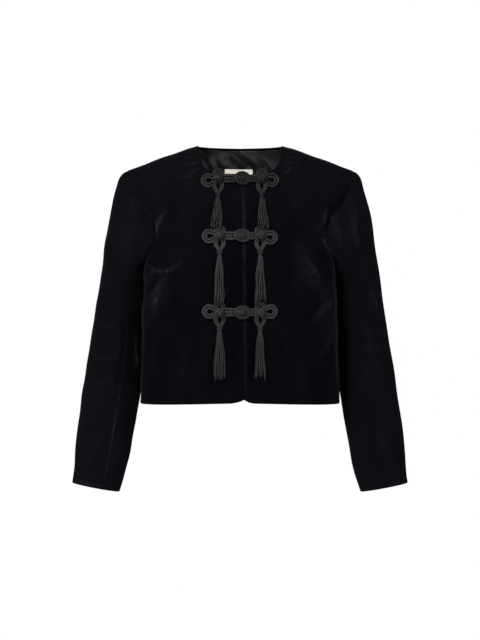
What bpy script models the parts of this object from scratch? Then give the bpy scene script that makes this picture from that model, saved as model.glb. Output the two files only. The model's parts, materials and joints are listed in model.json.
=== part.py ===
# Collarless cropped jacket, filled out: two fronts, a back, sleeves of two pieces,
# a back lining, a label, and three rows of cord frogs with knots and tassels.
# Metres, +Z up. The front faces -Y, and left (+X) and right (-X) are the wearer's.
# The origin lies midway between the two neck points, where shoulder meets neckline.

import math

import bmesh
import bpy
import numpy as np

MM = 0.001

# cloth
VELVET_WALL = 0.002
LINING_WALL = 0.001
LABEL_WALL = 0.001
SEAM_GAP = 0.0007
LAYER_GAP = 0.0004
UNDERARM_GAP = 0.0019
SHOULDER_END_GAP = 1.3

# body outline
HEM_HEIGHT = -0.4835
HEM_DIP = 0.003
CORNER_RADIUS = 0.009
HEM_RUN = 0.19
SIDE_RADIUS = 0.1
UNDERARM_HEIGHT = -0.228
SIDE_ANGLE = math.radians(106.0)
FRONT_SQUARENESS = 2.4
BACK_SQUARENESS = 2.3
NECK_HALF_WIDTH = 0.079
NECK_FRONT_HEIGHT = -0.0660
NECK_BACK_HEIGHT = -0.004
NECK_SQUARENESS = 2.35
SHOULDER_HALF_WIDTH = 0.2145
SHOULDER_SLOPE = 0.368
NECK_POINT_DIP = 0.005
NECK_POINT_REACH = 0.015
SHOULDER_ZERO = NECK_HALF_WIDTH + NECK_POINT_DIP / SHOULDER_SLOPE
SHOULDER_ROUNDING = 0.062
OPENING_TOP = 0.003
OPENING_HEM = 0.0075
OPENING_GAP = 0.0016

# height, front half width, back half width, front depth, back depth, widest line
BODY = np.array([
    (-0.490, 0.1885, 0.1885, 0.110, 0.101, -0.028),
    (-0.400, 0.1865, 0.1865, 0.115, 0.095, -0.028),
    (-0.310, 0.1835, 0.1835, 0.121, 0.100, -0.027),
    (-0.228, 0.1800, 0.1800, 0.121, 0.108, -0.024),
    (-0.203, 0.1757, 0.1874, 0.117, 0.110, -0.018),
    (-0.175, 0.1654, 0.1949, 0.111, 0.111, -0.012),
    (-0.146, 0.1674, 0.2017, 0.104, 0.110, -0.009),
    (-0.097, 0.2034, 0.2142, 0.092, 0.104, -0.004),
    (-0.045, 0.2168, 0.2197, 0.080, 0.090, 0.000),
    (0.010, 0.2300, 0.2300, 0.070, 0.072, 0.000),
])
FRONT_WIDTH, BACK_WIDTH, FRONT_DEPTH, BACK_DEPTH, WIDEST = 1, 2, 3, 4, 5

# share of the armhole from underarm to shoulder, height, degrees from the front
# centre, degrees from the back centre
ARMHOLE = np.array([
    (0.00, -0.2280, 106.0, 74.0),
    (0.16, -0.2220, 90.0, 71.0),
    (0.30, -0.2030, 79.0, 65.0),
    (0.42, -0.1750, 74.0, 60.0),
    (0.54, -0.1460, 74.0, 60.0),
    (0.76, -0.0970, 77.0, 66.0),
    (1.00, -0.0445, 80.4, 76.4),
])
ARMHOLE_START = 0.54

# share of the sleeve below the cap, centre x, centre y, centre height, half width,
# half depth
SLEEVE = np.array([
    (0.00, 0.2235, 0.030, -0.2600, 0.0440, 0.0600),
    (0.26, 0.2350, 0.031, -0.3600, 0.0485, 0.0550),
    (0.52, 0.2445, 0.023, -0.4600, 0.0543, 0.0480),
    (0.75, 0.2574, 0.010, -0.5480, 0.0533, 0.0430),
    (0.87, 0.2637, 0.001, -0.5940, 0.0509, 0.0395),
    (1.00, 0.2733, -0.009, -0.6450, 0.0457, 0.0350),
])
CAP_SHARE = 0.36
CAP_KICK_TOP = 0.090
CAP_KICK_UNDER = 0.030
UNDERARM_DROP = 0.3
SLEEVE_FRONT_SEAM = math.radians(112.0)
SLEEVE_BACK_SEAM = math.radians(-122.0)

# folds: from and to (across, height), half width, height of the ridge (troughs
# are negative); across is x on the body and degrees round on a sleeve
FOLDS_FRONT_RIGHT = np.array([
    (-0.168, -0.232, -0.098, -0.205, 0.017, 0.0040),
    (-0.172, -0.262, -0.120, -0.262, 0.015, -0.0030),
    (-0.176, -0.330, -0.140, -0.275, 0.017, 0.0035),
    (-0.150, -0.120, -0.120, -0.190, 0.016, -0.0030),
])
FOLDS_FRONT_LEFT = np.array([
    (0.152, -0.135, 0.128, -0.200, 0.015, 0.0040),
    (0.106, -0.180, 0.168, -0.295, 0.018, 0.0042),
    (0.084, -0.195, 0.146, -0.310, 0.016, -0.0032),
    (0.116, -0.085, 0.096, -0.125, 0.016, 0.0025),
])
FOLDS_BACK = np.array([
    (0.150, -0.205, 0.080, -0.250, 0.018, 0.0040),
    (-0.150, -0.215, -0.070, -0.255, 0.018, 0.0040),
    (0.160, -0.345, 0.060, -0.330, 0.020, -0.0032),
    (-0.158, -0.365, -0.050, -0.385, 0.020, 0.0034),
])
FOLDS_SLEEVE_RIGHT = np.array([
    (58.0, -0.145, 80.0, -0.195, 0.016, 0.0035),
    (105.0, -0.330, 96.0, -0.460, 0.015, 0.0040),
    (-70.0, -0.360, 20.0, -0.385, 0.017, 0.0034),
    (-80.0, -0.430, 0.0, -0.425, 0.017, -0.0034),
])
FOLDS_SLEEVE_LEFT = np.array([
    (52.0, -0.130, 70.0, -0.195, 0.016, 0.0038),
    (30.0, -0.265, 62.0, -0.330, 0.017, 0.0034),
    (-75.0, -0.370, 15.0, -0.400, 0.017, 0.0034),
    (-70.0, -0.440, 10.0, -0.445, 0.017, -0.0034),
])
SLEEVE_RADIUS = 0.048

# frogs: row name, ball from the middle plane, height of the ball, drop to the tassel neck,
# height of the tips
FROG_ROWS = (
    ("top", 0.0405, -0.0640, 0.0342, -0.1490),
    ("mid", 0.0375, -0.1720, 0.0345, -0.2905),
    ("low", 0.0375, -0.3135, 0.0345, -0.4345),
)
BALL_RADIUS = 0.0087
BALL_HALF_DEPTH = 0.0070
BALL_SINK = 0.0021
BAND_HALF_WIDTH = 0.0039
BAND_HALF_DEPTH = 0.0025
KNOT_ACROSS = 0.0035
KNOT_RADIUS = 0.0070
KNOT_OUT = 0.0085
STEM_RADIUS = 0.0021
STEM_START = -0.0080
LOOP_BAND = 0.70
LOOP_RISE = 0.0056
# the three loops of a half frog: outward and up from the ball, in millimetres
UPPER_LOOP = ((-5.0, 5.0), (-5.6, 10.2), (-4.6, 14.8), (0.0, 17.2), (4.6, 14.8), (5.6, 10.2))
OUTER_LOOP = ((5.0, 5.0), (11.2, 5.4), (18.0, 8.8), (25.5, 7.8), (30.0, 0.5),
              (25.5, -7.8), (18.0, -9.4), (11.2, -5.8))
LOWER_LOOP = ((5.0, -5.0), (6.2, -10.2), (9.0, -15.5), (6.6, -21.0), (0.0, -23.0),
              (-6.6, -21.0), (-9.0, -15.5), (-6.2, -10.2), (-5.0, -5.0))
BAR_END = 0.0126
BAR_RISE = 0.0052
# the loop over the knot: across and up from the ball height, share of its rise
KNOT_LOOP = ((20.5, -8.6, 0.1), (9.0, -10.8, 0.55), (-2.5, -9.2, 1.0), (-8.2, -3.4, 1.0),
             (-8.2, 3.4, 1.0), (-2.5, 9.2, 1.0), (9.0, 10.8, 0.55), (20.5, 8.6, 0.1))

# tassels: level, share of the drop, half width, half depth
TASSEL = np.array([
    (-2.0, 1.00, 0.0110, 0.0032),
    (-1.0, 0.45, 0.0082, 0.0031),
    (-0.1, 0.03, 0.0040, 0.0027),
    (0.0, 0.00, 0.0036, 0.0026),
    (1.0, 0.00, 0.0048, 0.0030),
])
STRANDS_ACROSS = 6
STRANDS_DEEP = 3
STRAND_INSET = 0.062
TIP_UNEVEN = 0.12
TASSEL_HEAD = 0.0075
TASSEL_LIFT = 0.0012

# lining and label
LINING_MARGIN = 1
LABEL_CENTRE = (-0.0022, -0.0461)
LABEL_WIDTH = 0.0547
LABEL_HEIGHT = 0.020

# grid divisions: across, along
FRONT_GRID = (14, 22)
BACK_GRID = (11, 21)
SLEEVE_TOP_GRID = (16, 16)
SLEEVE_UNDER_GRID = (11, 16)
ROW_CROWDING = 1.75
COLUMN_CROWDING = 1.25
# the neck point falls on a column of the grid
FRONT_NECK_SHARE = (7 / FRONT_GRID[0]) ** COLUMN_CROWDING
BACK_NECK_SHARE = 4 / BACK_GRID[0]


def along(table, column, at):
    # smooth curve through one column of a table, read against its first column
    keys = table[:, 0]
    values = table[:, column]
    slopes = np.gradient(values, keys)
    i = np.clip(np.searchsorted(keys, at) - 1, 0, len(keys) - 2)
    step = keys[i + 1] - keys[i]
    t = np.clip((at - keys[i]) / step, 0.0, 1.0)
    start = (1 + 2 * t) * (1 - t) ** 2 * values[i] + t * (1 - t) ** 2 * step * slopes[i]
    end = t * t * (3 - 2 * t) * values[i + 1] + t * t * (t - 1) * step * slopes[i + 1]
    return start + end


def power(value, exponent):
    return np.sign(value) * np.abs(value) ** exponent


def shoulder_line(x):
    # a straight slope that flattens into the neck point
    reach = np.abs(x)
    dip = NECK_POINT_DIP * np.exp(-(((reach - NECK_HALF_WIDTH) / NECK_POINT_REACH) ** 2))
    return SHOULDER_SLOPE * (SHOULDER_ZERO - reach) - dip


def body_point(angle, z):
    # rounded section, angle 0 at the front centre and 180 degrees at the back centre,
    # drawn in to the shoulder seam near the top
    sine = np.sin(angle)
    cosine = np.cos(angle)
    front = cosine >= 0
    width = np.where(front, along(BODY, FRONT_WIDTH, z), along(BODY, BACK_WIDTH, z))
    reach = np.where(front, -along(BODY, FRONT_DEPTH, z), along(BODY, BACK_DEPTH, z))
    bend = np.where(front, 2 / FRONT_SQUARENESS, 2 / BACK_SQUARENESS)
    widest = along(BODY, WIDEST, z)
    x = width * power(sine, bend)
    y = widest + (reach - widest) * np.abs(cosine) ** bend
    fall = np.clip((shoulder_line(x) - z) / SHOULDER_ROUNDING, 0.0, 1.0)
    fullness = np.sqrt(fall * (2 - fall))
    widen = 1 + SHOULDER_END_GAP * (x / SHOULDER_HALF_WIDTH) ** 8
    seam = np.where(front, -0.5, 0.5) * SEAM_GAP * widen
    return np.stack([x, y * fullness + seam * (1 - fullness), z + 0 * x], -1)


def front_angle(x, z):
    sine = power(x / along(BODY, FRONT_WIDTH, z), FRONT_SQUARENESS / 2)
    return np.arcsin(np.clip(sine, -1, 1))


def back_angle(x, z):
    sine = power(x / along(BODY, BACK_WIDTH, z), BACK_SQUARENESS / 2)
    return math.pi - np.arcsin(np.clip(sine, -1, 1))


def front_edge(z, side):
    # distance of a front's own edge from the middle plane, towards its side
    down = (NECK_FRONT_HEIGHT - z) / (NECK_FRONT_HEIGHT - HEM_HEIGHT)
    return side * (OPENING_TOP + (OPENING_HEM - OPENING_TOP) * down) + OPENING_GAP / 2


def armhole_edge(share, column):
    # angle from the front centre and height; the top end lies exactly on the shoulder seam
    end_z = shoulder_line(SHOULDER_HALF_WIDTH)
    z = along(ARMHOLE, 1, share) + (end_z - ARMHOLE[-1, 1]) * share**4
    angle = np.radians(along(ARMHOLE, column, share))
    if column == 3:
        angle = math.pi - angle
        end_angle = back_angle(SHOULDER_HALF_WIDTH, end_z)
        table_end = math.pi - math.radians(ARMHOLE[-1, column])
    else:
        end_angle = front_angle(SHOULDER_HALF_WIDTH, end_z)
        table_end = math.radians(ARMHOLE[-1, column])
    return angle + (end_angle - table_end) * share**4, z


def outer_edge(v, column):
    # side seam up to the underarm, then the armhole up to the shoulder
    climb = np.clip(v / ARMHOLE_START, 0, 1)
    angle, z = armhole_edge(np.clip((v - ARMHOLE_START) / (1 - ARMHOLE_START), 0, 1), column)
    return angle, np.where(v < ARMHOLE_START, HEM_HEIGHT + (UNDERARM_HEIGHT - HEM_HEIGHT) * climb, z)


def coons(u, v, left, right, foot, top, corners):
    # four edges blended into one sheet
    blend = (1 - u) * left + u * right + (1 - v) * foot + v * top
    return blend - ((1 - u) * (1 - v) * corners[0] + u * (1 - v) * corners[1]
                    + (1 - u) * v * corners[2] + u * v * corners[3])


def neck_and_shoulder(u, share, start, drop, square):
    turn = np.clip(u / share, 0, 1) * math.pi / 2
    run = np.clip((u - share) / (1 - share), 0, 1)
    neck_x = start + (NECK_HALF_WIDTH - start) * np.sin(turn) ** (2 / square)
    neck_z = drop * np.abs(np.cos(turn)) ** (2 / square)
    run_x = NECK_HALF_WIDTH + (SHOULDER_HALF_WIDTH - NECK_HALF_WIDTH) * run
    return np.where(u < share, neck_x, run_x), np.where(u < share, neck_z, shoulder_line(run_x))


def front_place(u, v, side):
    # a front, from its own edge (u 0) to side seam and armhole (u 1)
    seam = SEAM_GAP / SIDE_RADIUS
    side_angle = SIDE_ANGLE - seam
    right_angle, right_z = outer_edge(v, 2)
    right_angle = right_angle - seam * (v < ARMHOLE_START + 0.02)
    left_z = HEM_HEIGHT + (NECK_FRONT_HEIGHT - HEM_HEIGHT) * v
    left_angle = front_angle(front_edge(left_z, side), left_z)
    neck_x = front_edge(NECK_FRONT_HEIGHT, side)
    top_x, top_z = neck_and_shoulder(u, FRONT_NECK_SHARE, neck_x, NECK_FRONT_HEIGHT, NECK_SQUARENESS)
    top_angle = front_angle(top_x, top_z)
    hem_angle = front_angle(front_edge(HEM_HEIGHT, side), HEM_HEIGHT)
    foot_angle = hem_angle + (side_angle - hem_angle) * u
    short = np.maximum(CORNER_RADIUS - u * HEM_RUN, 0)
    corner = CORNER_RADIUS - np.sqrt(CORNER_RADIUS**2 - short**2)
    foot_z = HEM_HEIGHT - HEM_DIP * np.sin(math.pi * u) + corner
    end_z = shoulder_line(SHOULDER_HALF_WIDTH)
    neck_angle = front_angle(neck_x, NECK_FRONT_HEIGHT)
    end_angle = front_angle(SHOULDER_HALF_WIDTH, end_z)
    angle_corners = (hem_angle, side_angle, neck_angle, end_angle)
    angle = coons(u, v, left_angle, right_angle, foot_angle, top_angle, angle_corners)
    z = coons(u, v, left_z, right_z, foot_z, top_z, (HEM_HEIGHT, HEM_HEIGHT, NECK_FRONT_HEIGHT, end_z))
    return body_point(angle, z) * np.array((side, 1, 1))


def back_place(u, v):
    # half of the back, from its centre (u 0) to side seam and armhole (u 1)
    right_angle, right_z = outer_edge(v, 3)
    left_z = HEM_HEIGHT + (NECK_BACK_HEIGHT - HEM_HEIGHT) * v
    top_x, top_z = neck_and_shoulder(u, BACK_NECK_SHARE, 0.0, NECK_BACK_HEIGHT, 2.0)
    top_angle = back_angle(top_x, top_z)
    foot_angle = math.pi + (SIDE_ANGLE - math.pi) * u
    end_z = shoulder_line(SHOULDER_HALF_WIDTH)
    angle_corners = (math.pi, SIDE_ANGLE, math.pi, back_angle(SHOULDER_HALF_WIDTH, end_z))
    angle = coons(u, v, math.pi, right_angle, foot_angle, top_angle, angle_corners)
    z = coons(u, v, left_z, right_z, HEM_HEIGHT, top_z, (HEM_HEIGHT, HEM_HEIGHT, NECK_BACK_HEIGHT, end_z))
    return body_point(angle, z)


def armhole_point(turn):
    # the armhole loop: turn 0 at the shoulder, positive to the front, half a turn at the
    # underarm; with the body's level outward direction there
    share = 1 - np.abs(turn) / math.pi
    ahead, z = armhole_edge(share, 2)
    behind, z = armhole_edge(share, 3)
    angle = np.where(turn >= 0, ahead, behind)
    run = body_point(angle + 0.02, z) - body_point(angle - 0.02, z)
    outward = np.stack([run[..., 1], -run[..., 0], 0 * z], -1)
    return body_point(angle, z), outward / np.linalg.norm(outward, axis=-1, keepdims=True)


def sleeve_ring(turn, share):
    # an oval section square to the sleeve's own line
    step = 0.01
    centre = np.stack([along(SLEEVE, column, share) for column in (1, 2, 3)], -1)
    before = np.stack([along(SLEEVE, column, np.maximum(share - step, 0)) for column in (1, 2, 3)], -1)
    after = np.stack([along(SLEEVE, column, np.minimum(share + step, 1)) for column in (1, 2, 3)], -1)
    axis = after - before
    axis = axis / np.linalg.norm(axis, axis=-1, keepdims=True)
    ahead = np.zeros_like(axis)
    ahead[..., 1] = -1.0
    ahead = ahead - axis * np.sum(ahead * axis, -1, keepdims=True)
    ahead = ahead / np.linalg.norm(ahead, axis=-1, keepdims=True)
    outward = np.cross(ahead, axis)
    wide = along(SLEEVE, 4, share) * np.cos(turn)
    deep = along(SLEEVE, 5, share) * np.sin(turn)
    return centre + outward * wide[..., None] + ahead * deep[..., None], axis


def sleeve_place(turn, v):
    # the left sleeve: the cap from the armhole to the first section, then section by section
    start, outward = armhole_point(turn)
    ring, axis = sleeve_ring(turn, np.clip((v - CAP_SHARE) / (1 - CAP_SHARE), 0, 1))
    high = ((1 + np.cos(turn)) / 2)[..., None]
    kick = CAP_KICK_UNDER + (CAP_KICK_TOP - CAP_KICK_UNDER) * high
    low_leave = outward - np.array((0, 0, UNDERARM_DROP))
    leave = high * np.array((1.0, 0.0, -SHOULDER_SLOPE)) + (1 - high) * low_leave
    leave = leave / np.linalg.norm(leave, axis=-1, keepdims=True)
    first, first_axis = sleeve_ring(turn, 0 * v)
    start = start + leave * SEAM_GAP + outward * UNDERARM_GAP * (1 - high)
    t = np.clip(v / CAP_SHARE, 0, 1)[..., None]
    span = np.linalg.norm(first - start, axis=-1, keepdims=True)
    cap = ((1 + 2 * t) * (1 - t) ** 2 * start + t * (1 - t) ** 2 * kick * leave
           + t * t * (3 - 2 * t) * first + t * t * (t - 1) * span * first_axis)
    return np.where((v < CAP_SHARE)[..., None], cap, ring)


def fold_height(folds, across, height):
    # soft ridges and troughs, each along its own line and fading at both ends
    total = np.zeros_like(height)
    for x0, z0, x1, z1, wide, tall in folds:
        length = (x1 - x0) ** 2 + (z1 - z0) ** 2
        share = np.clip(((across - x0) * (x1 - x0) + (height - z0) * (z1 - z0)) / length, 0, 1)
        gap = (across - x0 - share * (x1 - x0)) ** 2 + (height - z0 - share * (z1 - z0)) ** 2
        total = total + tall * np.exp(-gap / wide**2) * np.sin(math.pi * (0.12 + 0.76 * share))
    return total


def outward_normals(place, u, v):
    step = 0.004
    low_u = np.maximum(u - step, 0)
    high_u = np.minimum(u + step, 1)
    low_v = np.maximum(v - step, 0)
    high_v = np.minimum(v + step, 1)
    cross = np.cross(place(high_u, v) - place(low_u, v), place(u, high_v) - place(u, low_v))
    return cross / np.maximum(np.linalg.norm(cross, axis=-1, keepdims=True), 1e-12)


def edge_fade(u, v):
    # folds flatten out before a seam so that neighbouring pieces still meet
    reach = np.minimum(np.minimum(u, 1 - u) / 0.12, np.minimum(v, 1 - v) / 0.08)
    return np.clip(reach, 0, 1)


def material(name, colour, roughness):
    made = bpy.data.materials.new(name)
    made.use_nodes = True
    shader = made.node_tree.nodes["Principled BSDF"]
    shader.inputs["Base Color"].default_value = (*colour, 1.0)
    shader.inputs["Roughness"].default_value = roughness
    return made


def add_object(name, mesh, finish):
    made = bpy.data.objects.new(name, mesh)
    parts.objects.link(made)
    made.data.materials.append(material(name, *finish))
    return made


def add_sheet(name, divisions, place, turned, wall, finish):
    # a grid carried on to the form, then thickened inwards
    work = bmesh.new()
    bmesh.ops.create_grid(work, x_segments=divisions[0], y_segments=divisions[1], size=1.0)
    flat = np.array([vertex.co for vertex in work.verts])
    spots = place((flat[:, 0] + 1) / 2, (flat[:, 1] + 1) / 2)
    for vertex, spot in zip(work.verts, spots):
        vertex.co = spot
    if turned:
        bmesh.ops.reverse_faces(work, faces=work.faces)
    mesh = bpy.data.meshes.new(name)
    work.to_mesh(mesh)
    work.free()
    made = add_object(name, mesh, finish)
    if wall:
        shell = made.modifiers.new("wall", "SOLIDIFY")
        shell.thickness = wall
        shell.offset = -1.0
        shell.use_even_offset = True
    return made


def front_surface(x, z):
    return body_point(front_angle(x, z), z)


def lay_on_front(mesh):
    # a flat-built trim point (across, in, up) goes to the front's point, moved out along
    # the normal there
    spots = np.array([vertex.co for vertex in mesh.vertices])
    x = spots[:, 0]
    z = spots[:, 2]
    step = 0.004
    across = front_surface(x + step, z) - front_surface(x - step, z)
    up = front_surface(x, z + step) - front_surface(x, z - step)
    normal = np.cross(across, up)
    normal = normal / np.linalg.norm(normal, axis=-1, keepdims=True)
    laid = front_surface(x, z) - normal * spots[:, 1:2]
    for vertex, spot in zip(mesh.vertices, laid):
        vertex.co = spot


def tube_mesh(name, points, radii, cyclic, flatten):
    # a round cord along a path, then pressed flat towards the cloth
    curve = bpy.data.curves.new(name, "CURVE")
    curve.dimensions = "3D"
    curve.bevel_depth = BAND_HALF_WIDTH
    curve.bevel_resolution = 1
    curve.use_fill_caps = not cyclic
    spline = curve.splines.new("POLY")
    spline.points.add(len(points) - 1)
    for point, spot, radius in zip(spline.points, points, radii):
        point.co = (spot[0], spot[1] / flatten, spot[2], 1.0)
        point.radius = radius
    spline.use_cyclic_u = cyclic
    holder = bpy.data.objects.new(name, curve)
    bpy.context.scene.collection.objects.link(holder)
    graph = bpy.context.evaluated_depsgraph_get()
    mesh = bpy.data.meshes.new_from_object(holder.evaluated_get(graph))
    bpy.data.objects.remove(holder)
    work = bmesh.new()
    work.from_mesh(mesh)
    bmesh.ops.remove_doubles(work, verts=work.verts, dist=0.00005)
    bmesh.ops.scale(work, vec=(1.0, flatten, 1.0), verts=work.verts)
    bmesh.ops.recalc_face_normals(work, faces=work.faces)
    work.to_mesh(mesh)
    work.free()
    return mesh


def add_frog(name, side, across, height):
    # one cord band: bar, three loops round the ball, bar; the left half goes on round the knot
    flatten = BAND_HALF_DEPTH / BAND_HALF_WIDTH
    out = LAYER_GAP + BAND_HALF_DEPTH
    path = []
    for outward, up in UPPER_LOOP + OUTER_LOOP + LOWER_LOOP:
        path.append((side * (across + outward * MM), -out, height + up * MM))
    radii = [1.0] * len(path)
    if side < 0:
        path += [(-BAR_END, -out, height - BAR_RISE), (-BAR_END, -out, height + BAR_RISE)]
        radii += [1.0, 1.0]
    else:
        for aside, up, rise in KNOT_LOOP:
            path.append((aside * MM, -out - rise * LOOP_RISE, height + up * MM))
            radii.append(LOOP_BAND)
    mesh = tube_mesh(name, path, radii, True, flatten)
    lay_on_front(mesh)
    return add_object(name, mesh, CORD)


def ball_mesh(name, x, out, z, radius, half_depth):
    work = bmesh.new()
    bmesh.ops.create_uvsphere(work, u_segments=12, v_segments=7, radius=1.0)
    bmesh.ops.scale(work, vec=(radius, half_depth, radius), verts=work.verts)
    bmesh.ops.translate(work, vec=(x, -out, z), verts=work.verts)
    mesh = bpy.data.meshes.new(name)
    work.to_mesh(mesh)
    work.free()
    return mesh


def add_ball(name, side, across, height):
    out = 2 * BAND_HALF_DEPTH + 2 * LAYER_GAP + BALL_HALF_DEPTH - BALL_SINK
    mesh = ball_mesh(name, side * across, out, height, BALL_RADIUS, BALL_HALF_DEPTH)
    lay_on_front(mesh)
    return add_object(name, mesh, CORD)


def add_knot(name, height):
    # a knot with a stem that runs under the loop to the right half's bar
    mesh = ball_mesh(name, KNOT_ACROSS, KNOT_OUT, height, KNOT_RADIUS, KNOT_RADIUS)
    scale = STEM_RADIUS / BAND_HALF_WIDTH
    out = LAYER_GAP + STEM_RADIUS
    stem_path = [(STEM_START, -out, height), (KNOT_ACROSS, -out - STEM_RADIUS, height)]
    stem_mesh = tube_mesh(name + "_stem", stem_path, [scale, scale], False, 1.0)
    stem = bpy.data.objects.new(name + "_stem", stem_mesh)
    ball = bpy.data.objects.new(name + "_ball", mesh)
    bpy.context.scene.collection.objects.link(stem)
    bpy.context.scene.collection.objects.link(ball)
    join = ball.modifiers.new("join", "BOOLEAN")
    join.operation = "UNION"
    join.solver = "EXACT"
    join.object = stem
    graph = bpy.context.evaluated_depsgraph_get()
    joined = bpy.data.meshes.new_from_object(ball.evaluated_get(graph))
    bpy.data.objects.remove(stem)
    bpy.data.objects.remove(ball)
    lay_on_front(joined)
    return add_object(name, joined, CORD)


def add_tassel(name, side, across, height, neck_drop, tip):
    # a small head whose underside is split into cells, each drawn down into a strand
    work = bmesh.new()
    bmesh.ops.create_grid(work, x_segments=STRANDS_ACROSS, y_segments=STRANDS_DEEP, size=1.0)
    cells = list(work.faces)
    raised = bmesh.ops.extrude_face_region(work, geom=cells)
    lifted = [item for item in raised["geom"] if isinstance(item, bmesh.types.BMVert)]
    bmesh.ops.translate(work, vec=(0, 0, 1.0), verts=lifted)
    bmesh.ops.recalc_face_normals(work, faces=work.faces)
    bmesh.ops.inset_individual(work, faces=cells, thickness=STRAND_INSET)
    for level in (-1.0, -2.0):
        drawn = bmesh.ops.extrude_discrete_faces(work, faces=cells)
        cells = drawn["faces"]
        for number, cell in enumerate(cells):
            uneven = TIP_UNEVEN * math.sin(2.4 * number) if level < -1.5 else 0.0
            for vertex in cell.verts:
                vertex.co.z = level + uneven
    neck = height - neck_drop
    for vertex in work.verts:
        level = vertex.co.z
        wide = np.interp(level, TASSEL[:, 0], TASSEL[:, 2])
        deep = np.interp(level, TASSEL[:, 0], TASSEL[:, 3])
        drop = np.interp(min(level, 0.0), TASSEL[:, 0], TASSEL[:, 1])
        extra = max(-2.0 - level, 0.0) * 0.06
        out = TASSEL_LIFT + deep * (1 - vertex.co.y)
        z = neck + max(level, 0.0) * TASSEL_HEAD + (tip - neck) * (drop + extra)
        vertex.co = (side * across + vertex.co.x * wide, -out, z)
    mesh = bpy.data.meshes.new(name)
    work.to_mesh(mesh)
    work.free()
    lay_on_front(mesh)
    return add_object(name, mesh, CORD)


VELVET = ((0.010, 0.010, 0.013), 0.95)
CORD = ((0.030, 0.030, 0.032), 0.75)
SATIN = ((0.026, 0.025, 0.025), 0.35)
CREAM = ((0.78, 0.74, 0.65), 0.8)

for old in list(bpy.data.objects):
    bpy.data.objects.remove(old)
parts = bpy.data.collections.new("collarless_velvet_jacket")
bpy.context.scene.collection.children.link(parts)


def crowd(v):
    # rows crowd towards the shoulder, where the sheet turns over
    return 1 - (1 - v) ** ROW_CROWDING


def folded(place, folds):
    # a body sheet with its folds raised along the level outward direction
    def placed(u, v):
        spots = place(u, v)
        normal = outward_normals(place, u, v)
        level = np.sum(normal[..., :2] * spots[..., :2], -1)
        normal = normal * np.where(level < 0, -1, 1)[..., None]
        lift = fold_height(folds, spots[..., 0], spots[..., 2]) * edge_fade(u, v)
        return spots + normal * lift[..., None]
    return placed


def add_front(name, side, folds):
    def place(u, v):
        return front_place(u**COLUMN_CROWDING, crowd(v), side)
    add_sheet(name, FRONT_GRID, folded(place, folds), side < 0, VELVET_WALL, VELVET)


add_front("front_right", -1, FOLDS_FRONT_RIGHT)
add_front("front_left", 1, FOLDS_FRONT_LEFT)


def back_sheet(u, v):
    # the whole back, u 0 at the left side and 1 at the right side
    half = np.abs(2 * u - 1)
    spots = back_place(half, crowd(v))
    spots[..., 0] = spots[..., 0] * np.where(u < 0.5, 1, -1)
    return spots


back_folded = folded(back_sheet, FOLDS_BACK)
add_sheet("back", (2 * BACK_GRID[0], BACK_GRID[1]), back_folded, False, VELVET_WALL, VELVET)


def lining_sheet(u, v):
    # the back's own points inside its edges, moved in
    across = (LINING_MARGIN + (2 * BACK_GRID[0] - 2 * LINING_MARGIN) * u) / (2 * BACK_GRID[0])
    rise = (LINING_MARGIN + (BACK_GRID[1] - 2 * LINING_MARGIN) * v) / BACK_GRID[1]
    normal = outward_normals(back_folded, across, rise)
    return back_folded(across, rise) - normal * (VELVET_WALL + LAYER_GAP)


lining_grid = (2 * BACK_GRID[0] - 2 * LINING_MARGIN, BACK_GRID[1] - 2 * LINING_MARGIN)
add_sheet("back_lining", lining_grid, lining_sheet, False, LINING_WALL, SATIN)


def label_sheet(u, v):
    # a small strip on the lining, moved in from the back
    def surface(a, b):
        x = LABEL_CENTRE[0] + (0.5 - a) * LABEL_WIDTH
        z = LABEL_CENTRE[1] + (b - 0.5) * LABEL_HEIGHT
        return body_point(back_angle(x, z), z)

    normal = outward_normals(surface, u, v)
    return surface(u, v) - normal * (VELVET_WALL + LINING_WALL + 4 * LAYER_GAP)


add_sheet("label", (4, 2), label_sheet, False, LABEL_WALL, CREAM)


def add_sleeve(name, side, span, divisions, folds):
    gap = SEAM_GAP / SLEEVE_RADIUS / 2
    round_metres = SLEEVE_RADIUS * math.pi / 180
    fold_rows = folds * np.array((round_metres, 1, round_metres, 1, 1, 1))

    def place(u, v):
        turn = span[0] + gap + (span[1] - span[0] - 2 * gap) * u
        turn = np.where(turn > math.pi, turn - 2 * math.pi, turn)
        spots = sleeve_place(turn, v)
        share = np.clip((v - CAP_SHARE) / (1 - CAP_SHARE), 0, 1)
        ahead, axis = sleeve_ring(0 * turn + math.pi / 2, share)
        behind, axis = sleeve_ring(0 * turn - math.pi / 2, share)
        radial = (spots - (ahead + behind) / 2) * np.array((1, 1, 0))
        radial = radial / np.maximum(np.linalg.norm(radial, axis=-1, keepdims=True), 1e-9)
        lift = fold_height(fold_rows, turn * SLEEVE_RADIUS, spots[..., 2])
        fade = edge_fade(u, v) * np.clip(v / 0.2, 0, 1)
        return (spots + radial * (lift * fade)[..., None]) * np.array((side, 1, 1))

    add_sheet(name, divisions, place, side > 0, VELVET_WALL, VELVET)


TOP_SPAN = (SLEEVE_BACK_SEAM, SLEEVE_FRONT_SEAM)
UNDER_SPAN = (SLEEVE_FRONT_SEAM, SLEEVE_BACK_SEAM + 2 * math.pi)
add_sleeve("sleeve_top_right", -1, TOP_SPAN, SLEEVE_TOP_GRID, FOLDS_SLEEVE_RIGHT)
add_sleeve("sleeve_top_left", 1, TOP_SPAN, SLEEVE_TOP_GRID, FOLDS_SLEEVE_LEFT)
add_sleeve("sleeve_under_right", -1, UNDER_SPAN, SLEEVE_UNDER_GRID, FOLDS_SLEEVE_RIGHT)
add_sleeve("sleeve_under_left", 1, UNDER_SPAN, SLEEVE_UNDER_GRID, FOLDS_SLEEVE_LEFT)

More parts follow.
